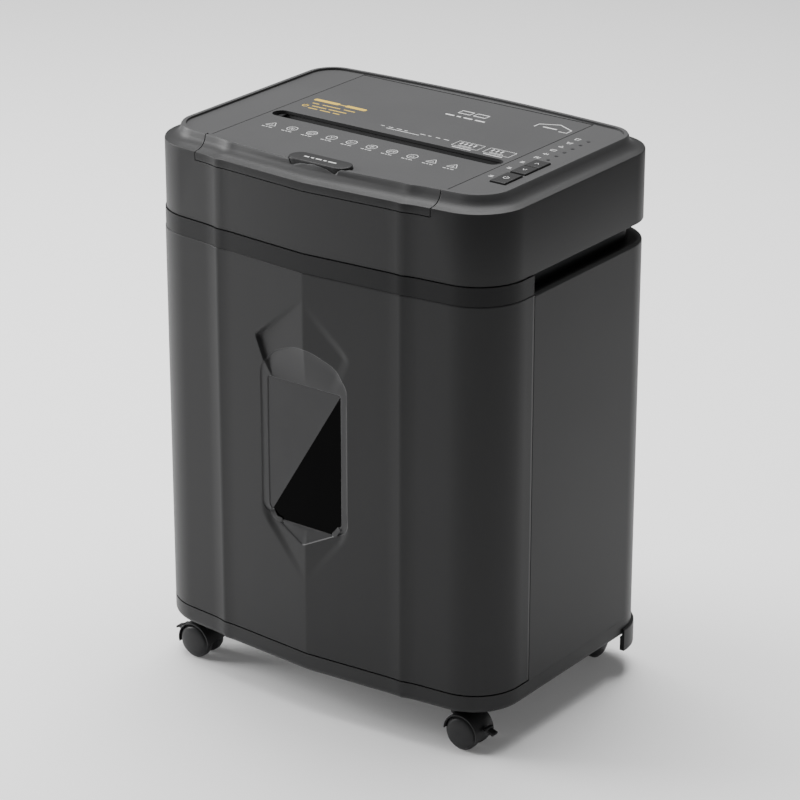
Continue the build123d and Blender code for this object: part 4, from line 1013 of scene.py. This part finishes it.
class BuildMarks(bpy.types.Operator):
    """Generic printed symbols on the lid, the control strip and the buttons"""
    bl_idname = "shredder.marks"
    bl_label = "Printed marks"
    ink = 0.05 * MM

    def execute(self, context):
        self.lid_marks()
        self.strip_marks()
        self.button_marks()
        return {"FINISHED"}

    def lay(self, name, meshes, finish, body):
        points, faces = join_lists(*meshes)
        return solid(name, points, faces, finish, body)

    def dash(self, left, right, y, width):
        """Level line between two places, in millimetres."""
        return stroke([(left * MM, y * MM), (right * MM, y * MM)], width * MM, self.ink, MARK_Z)

    def lid_marks(self):
        """Row of caution symbols, two boxed readings, small notes and a house-shaped arrow."""
        z = MARK_Z
        meshes = []
        line, thin = 0.62 * MM, 0.45 * MM
        for index in range(10):
            x, y = (-98 + 21.1 * index) * MM, -49.5 * MM
            if index in (0, 8, 9):
                corners = [(x - 5.2 * MM, y - 4 * MM), (x + 5.2 * MM, y - 4 * MM), (x, y + 4.6 * MM)]
                meshes.append(stroke(rounded(corners, 0.0008, 3), line, self.ink, z, closed=True))
            else:
                meshes.append(stroke(circle(x, y, 4.7 * MM), line, self.ink, z, closed=True))
            meshes += self.symbol(index, x, y, z, thin)
            dashes = [(-5.4, 3.2), (-1.2, 2.0), (1.8, 3.6)]
            for start, length in dashes:
                low_x = x + start * MM
                meshes.append(stroke([(low_x, y - 8.2 * MM), (low_x + length * MM, y - 8.2 * MM)],
                                     0.9 * MM, self.ink, z))
        for index, x in enumerate((70 * MM, 102 * MM)):
            y = 1.5 * MM
            box = [(x - 13 * MM, y - 6.5 * MM), (x + 13 * MM, y - 6.5 * MM),
                   (x + 13 * MM, y + 6.5 * MM), (x - 13 * MM, y + 6.5 * MM)]
            meshes.append(stroke(rounded(box, 0.0008, 3), 0.5 * MM, self.ink, z, closed=True))
            for bar in range(4 - index):
                left = x - (8 - 4.6 * bar) * MM
                meshes.append(stroke([(left, y - 1 * MM), (left, y + 4.2 * MM)], 1.5 * MM, self.ink, z))
            meshes.append(stroke([(x - 8 * MM, y - 4 * MM), (x + 6 * MM, y - 4 * MM)],
                                 0.9 * MM, self.ink, z))
            meshes.append(stroke([(x - 10 * MM, y - 9.5 * MM), (x + 9 * MM, y - 9.5 * MM)],
                                 1.2 * MM, self.ink, z))
        house = [(84, 78), (84, 86), (100.5, 94), (117, 86), (117, 78), (109, 78)]
        meshes.append(stroke([(x * MM, y * MM) for x, y in house], 1.1 * MM, self.ink, z))
        meshes.append(self.dash(91, 105, 81.5, 1.8))
        for index in range(9):
            x = (-22 + 8.2 * index) * MM
            if index != 4:
                meshes.append(stroke([(x, 3.2 * MM), (x + (3.4 + index % 3) * MM, 3.2 * MM)],
                                     0.9 * MM, self.ink, z))
        meshes.append(self.dash(-14, 20, -0.4, 0.8))
        for left in (10, 26):
            sheet = [(left, 71), (left + 12, 71), (left + 12, 78), (left, 78)]
            meshes.append(stroke([(x * MM, y * MM) for x, y in sheet], 1.4 * MM, self.ink, z,
                                 closed=True))
        for left, right in ((3, 12), (15, 19), (22, 31), (34, 44)):
            meshes.append(self.dash(left, right, 62, 2.2))
        self.lay("lid_white_marks", meshes, "white_ink", "lid")
        yellow = []
        for left, right in ((-113, -86), (-79, -57)):
            bar = [(left * MM, 25.5 * MM), (right * MM, 25.5 * MM), (right * MM, 30.5 * MM),
                   (left * MM, 30.5 * MM)]
            yellow.append(plate(rounded(bar, 0.0018, 4), z, self.ink))
        yellow.append(self.dash(-86, -79, 28, 1.4))
        lines = ((18.5, ((-108, -101), (-97, -78), (-74, -62))),
                 (11.5, ((-111, -107), (-103, -88), (-85, -66))),
                 (5.5, ((-103, -93), (-90, -79), (-76, -69))))
        for y, spans in lines:
            yellow += [self.dash(left, right, y, 1.5) for left, right in spans]
        yellow.append(stroke(circle(-109 * MM, 9.5 * MM, 2.6 * MM), 0.9 * MM, self.ink, z, closed=True))
        self.lay("lid_yellow_marks", yellow, "yellow_ink", "lid")

    def symbol(self, index, x, y, z, width):
        """Simple strokes inside a caution sign, different for each."""
        kinds = (
            [[(0, -2), (0, 1.6)]],
            [[(-2.6, 1.2), (2.6, 1.2)], [(-2.6, -1.2), (2.6, -1.2)], [(-1, 2.6), (1, -2.6)]],
            [[(-2.4, -2), (2.4, -2), (2.4, 2), (-2.4, 2), (-2.4, -2)], [(-3.2, -3), (3.2, 3)]],
            [[(0, -3), (0, 0), (2, 2.6)], [(0, 0), (-2, 2.6)]],
            [[(-2, -2.6), (2, 2.6)], [(-2.6, 1), (-0.4, 1)]],
            [[(-2.6, 0), (2.6, 0)], [(0, -2.6), (0, 2.6)], [(-1.8, 1.8), (1.8, 1.8)]],
            [[(-2.2, -1.6), (-2.2, 1.8), (2.2, 1.8), (2.2, -1.6)], [(3, 3), (-3, -3)]],
            [[(-2.6, -1.4), (0, 2.2), (2.6, -1.4)], [(-2.6, -1.4), (2.6, -1.4)]],
            [[(-1.8, -1.8), (0.4, -0.4), (1.8, -1.8)]],
            [[(-1.6, -1.6), (1.6, -1.6)], [(0, -1.6), (0, 1.2)]],
        )
        return [stroke([(x + px * MM, y + (py - 0.3) * MM) for px, py in path], width, self.ink, z)
                for path in kinds[index]]

    def strip_marks(self):
        """State symbols left of the lamps and of the buttons."""
        z = MARK_Z
        lamps_low, lamps_high = BOXES["led_lenses"]
        pitch = (lamps_high.y - lamps_low.y - 3.2 * MM) / 5
        x = lamps_low.x - 9.2 * MM
        meshes = []
        for index in range(6):
            y = lamps_low.y + 1.6 * MM + pitch * index
            shapes = (
                [[(-2.2, -2), (-2.2, 2), (0, 2), (0, -2)], [(1.2, -2), (2.4, 2)]],
                [[(-2.4, 0), (2.4, 0)], [(0, -2), (0, 2)], [(2.4, 1.4), (2.4, -1.4)]],
                [[(-2.4, -1.6), (2.4, -1.6), (2.4, 1.6), (-2.4, 1.6), (-2.4, -1.6)]],
                [[(-2.2, -1.8), (0, 2), (2.2, -1.8), (-2.2, -1.8)]],
                [[(-2.2, 2), (-1.6, -2), (1.6, -2), (2.2, 2)], [(-2.6, 0.6), (2.6, 0.6)]],
                [[(-2.2, 2), (-1.6, -2), (1.6, -2), (2.2, 2), (-2.2, 2)]],
            )[index]
            for path in shapes:
                meshes.append(stroke([(x + a * MM, y + b * MM) for a, b in path],
                                     0.8 * MM, self.ink, z))
        for name in BUTTONS:
            low, high = BOXES[name]
            y = (low.y + high.y) / 2
            left = low.x - 5.0 * MM
            for rise, reach in ((-1.2, 1.4), (1.2, 0.8)):
                path = [(left - 2.6 * MM, y + rise * MM), (left + reach * MM, y + rise * MM)]
                meshes.append(stroke(path, 1.0 * MM, self.ink, z))
        self.lay("strip_marks", meshes, "white_ink", "cabinet")

    def button_marks(self):
        """Power ring, reverse and forward arrows on the buttons, and bars on the lid's release."""
        for name in BUTTONS:
            low, high = BOXES[name]
            x, y = (low.x + high.x) / 2, (low.y + high.y) / 2
            z = high.z - 0.01 * MM
            if name == "power_button":
                ring = [(x + 2.4 * MM * sin(a), y + 2.4 * MM * cos(a))
                        for a in [radians(35 + 290 * k / 24) for k in range(25)]]
                meshes = [stroke(ring, 0.6 * MM, self.ink, z),
                          stroke([(x, y + 0.6 * MM), (x, y + 3.2 * MM)], 0.6 * MM, self.ink, z)]
            else:
                way = 1 if name == "forward_button" else -1
                meshes = [stroke([(x - 1.8 * MM, y - way * 1.5 * MM), (x, y + way * 1.6 * MM),
                                  (x + 1.8 * MM, y - way * 1.5 * MM)], 0.7 * MM, self.ink, z)]
            self.lay(f"{name}_mark", meshes, "white_ink", name)
        low, high = BOXES["release_button"]
        y, z = (low.y + high.y) / 2 + 0.3 * MM, high.z - 0.07 * MM
        meshes = []
        for left, right in ((-17, -12), (-10, -7), (-5, 1), (3, 6), (8, 16)):
            meshes.append(stroke([(left * MM, y), (right * MM, y)], 1.9 * MM, self.ink, z))
        self.lay("release_button_mark", meshes, "white_ink", "release_button")


class BuildReleaseButton(bpy.types.Operator):
    """Pill-shaped lid release with a rolled edge"""
    bl_idname = "shredder.release_button"
    bl_label = "Release button"

    def execute(self, context):
        low, high = BOXES["release_button"]
        y = (low.y + high.y) / 2
        radius = (high.y - low.y) / 2
        half = high.x - 4.0 * MM
        levels = ((low.z + 0.05 * MM, 0.3, 4.0), (low.z + 1.4 * MM, 0.3, 4.0),
                  (low.z + 1.5 * MM, 0.05, 0.0), (high.z - 1.4 * MM, 0.05, 0.0),
                  (high.z - 0.8 * MM, 0.15, 0.0), (high.z - 0.4 * MM, 0.45, 0.0),
                  (high.z - 0.15 * MM, 0.95, 0.0), (high.z - 0.06 * MM, 1.8, 0.0))
        steps = 24
        points = []
        for z, inset, wider in levels:
            r = radius - inset * MM
            reach = half - radius + wider * MM
            for side in (1, -1):
                for step in range(steps + 1):
                    angle = side * pi / 2 - pi * step / steps
                    points.append(Vector((side * reach + r * cos(angle), y + r * sin(angle), z)))
        count = 2 * (steps + 1)
        faces = grid_faces(len(levels), count, closed=True)
        faces += [tuple(range(count)), tuple(range((len(levels) - 1) * count, len(levels) * count))]
        pill = solid("release_pill", points, faces, "charcoal_plastic", "release_button")
        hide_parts("release_button")
        return {"FINISHED"}


class BuildScrews(bpy.types.Operator):
    """Pan-head screws with a cross recess in the back panel"""
    bl_idname = "shredder.screws"
    bl_label = "Back screws"

    def execute(self, context):
        low, high = BOXES["cabinet_screws"]
        head = high.y
        meshes = []
        radius = 3.5 * MM
        for x in (low.x + radius, 0.0, high.x - radius):
            for z in (low.z + radius, high.z - radius):
                dome = [(radius * cos(a), -1.9 * MM + 1.8 * MM * sin(a))
                        for a in [pi / 2 * k / 8 for k in range(9)]][:-1]
                profile = [(0.3 * MM, -8.0 * MM), (1.6 * MM, -8.0 * MM), (1.6 * MM, -2.0 * MM),
                           (radius, -2.0 * MM), *dome, (0.9 * MM, -0.1 * MM), (0.6 * MM, -1.2 * MM),
                           (0.3 * MM, -1.2 * MM)]
                meshes.append(lathe(profile, (x, head, z), (0, 1, 0), UP, steps=32))
                for angle in (pi / 4, 3 * pi / 4):
                    meshes.append(self.recess_bar(x, head, z, angle))
        points, faces = join_lists(*meshes)
        piece = solid("back_panel_screws", points, faces, "steel", "cabinet")
        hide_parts("cabinet_screws")
        return {"FINISHED"}

    @staticmethod
    def recess_bar(x, y, z, angle):
        """Raised lip that borders one arm of the cross."""
        outline = rounded([(-1.7 * MM, -0.25 * MM), (1.7 * MM, -0.25 * MM), (1.7 * MM, 0.25 * MM),
                           (-1.7 * MM, 0.25 * MM)], 0.0002, 3)
        place = (Matrix.Translation((x, y - 0.35 * MM, z)) @ Matrix.Rotation(angle, 4, "Y")
                 @ Matrix.Rotation(-pi / 2, 4, "X"))
        return slab(outline, place, 0.3 * MM, 0.05 * MM)


class BuildStage(bpy.types.Operator):
    """Pale floor, soft studio lights and the camera"""
    bl_idname = "shredder.stage"
    bl_label = "Stage"

    def execute(self, context):
        sizes = context.scene.shredder_stage
        low, high = CAD_BOX
        centre = (low + high) / 2
        self.floor()
        self.lights(centre)
        a, e = sizes.azimuth, sizes.elevation
        back = Vector((sin(a) * cos(e), -cos(a) * cos(e), sin(e)))
        camera = bpy.data.objects.new("camera", bpy.data.cameras.new("camera"))
        context.scene.collection.objects.link(camera)
        camera.data.sensor_width = 36.0
        camera.data.lens = sizes.lens
        camera.data.clip_end = 50.0
        camera.location = centre + back * sizes.distance
        camera.rotation_mode = "QUATERNION"
        camera.rotation_quaternion = (-back).to_track_quat("-Z", "Y")
        context.scene.camera = camera
        return {"FINISHED"}

    @staticmethod
    def floor():
        reach = 9.0
        mesh = bpy.data.meshes.new("floor")
        corners = [(-reach, -reach, 0), (reach, -reach, 0), (reach, reach, 0), (-reach, reach, 0)]
        mesh.from_pydata(corners, [], [(0, 1, 2, 3)])
        floor = bpy.data.objects.new("floor", mesh)
        bpy.context.scene.collection.objects.link(floor)
        finish = Finish("pale_floor")
        cloud = finish.noise(1.3, 2.0)
        finish.output(finish.surface(base_color=finish.blend(cloud, (0.88, 0.88, 0.88), (0.9, 0.9, 0.9)),
                                     roughness=0.7, specular_ior_level=0.2,
                                     emission_color=(1.0, 1.0, 1.0, 1.0), emission_strength=0.1))
        mesh.materials.append(finish.material)

    @staticmethod
    def lights(centre):
        """Large soft boxes above and to the left, with a pale surround."""
        boxes = (
            ("top_box", (-0.4, 0.5, 2.6), 2.2, 150.0),
            ("left_box", (-2.7, -1.0, 1.4), 1.6, 112.0),
        )
        for name, place, size, power in boxes:
            light = bpy.data.lights.new(name, "AREA")
            light.shape = "SQUARE"
            light.size = size
            light.energy = power
            lamp = bpy.data.objects.new(name, light)
            bpy.context.scene.collection.objects.link(lamp)
            lamp.location = place
            lamp.rotation_euler = (centre - Vector(place)).to_track_quat("-Z", "Y").to_euler()
        world = bpy.data.worlds.new("surround")
        world.use_nodes = True
        backdrop = world.node_tree.nodes["Background"]
        backdrop.inputs["Color"].default_value = (1.0, 1.0, 1.0, 1.0)
        backdrop.inputs["Strength"].default_value = 0.12
        bpy.context.scene.world = world


class ShredderPanel(bpy.types.Panel):
    """Lists the shredder's building steps"""
    bl_idname = "VIEW3D_PT_shredder"
    bl_label = "Paper shredder"
    bl_space_type = "VIEW_3D"
    bl_region_type = "UI"
    bl_category = "Shredder"

    def draw(self, context):
        for step in STEPS:
            self.layout.operator(step.bl_idname)


STEPS = (BuildStage, BuildFinishes, BuildFrontPanel, BuildWindow, BuildCasters, BuildReleaseButton,
         BuildMarks, BuildScrews)
GROUPS = {"shredder_casing": CasingSizes, "shredder_window": WindowSizes, "shredder_tones": Tones,
          "shredder_stage": StageSizes}


def register():
    for cls in (*GROUPS.values(), *STEPS, ShredderPanel):
        bpy.utils.register_class(cls)
    for name, group in GROUPS.items():
        setattr(bpy.types.Scene, name, PointerProperty(type=group))


def unregister():
    for name in GROUPS:
        delattr(bpy.types.Scene, name)
    for cls in reversed((*GROUPS.values(), *STEPS, ShredderPanel)):
        bpy.utils.unregister_class(cls)


def main():
    register()
    for step in STEPS:
        group, action = step.bl_idname.split(".")
        getattr(getattr(bpy.ops, group), action)()


if __name__ == "__main__":
    main()
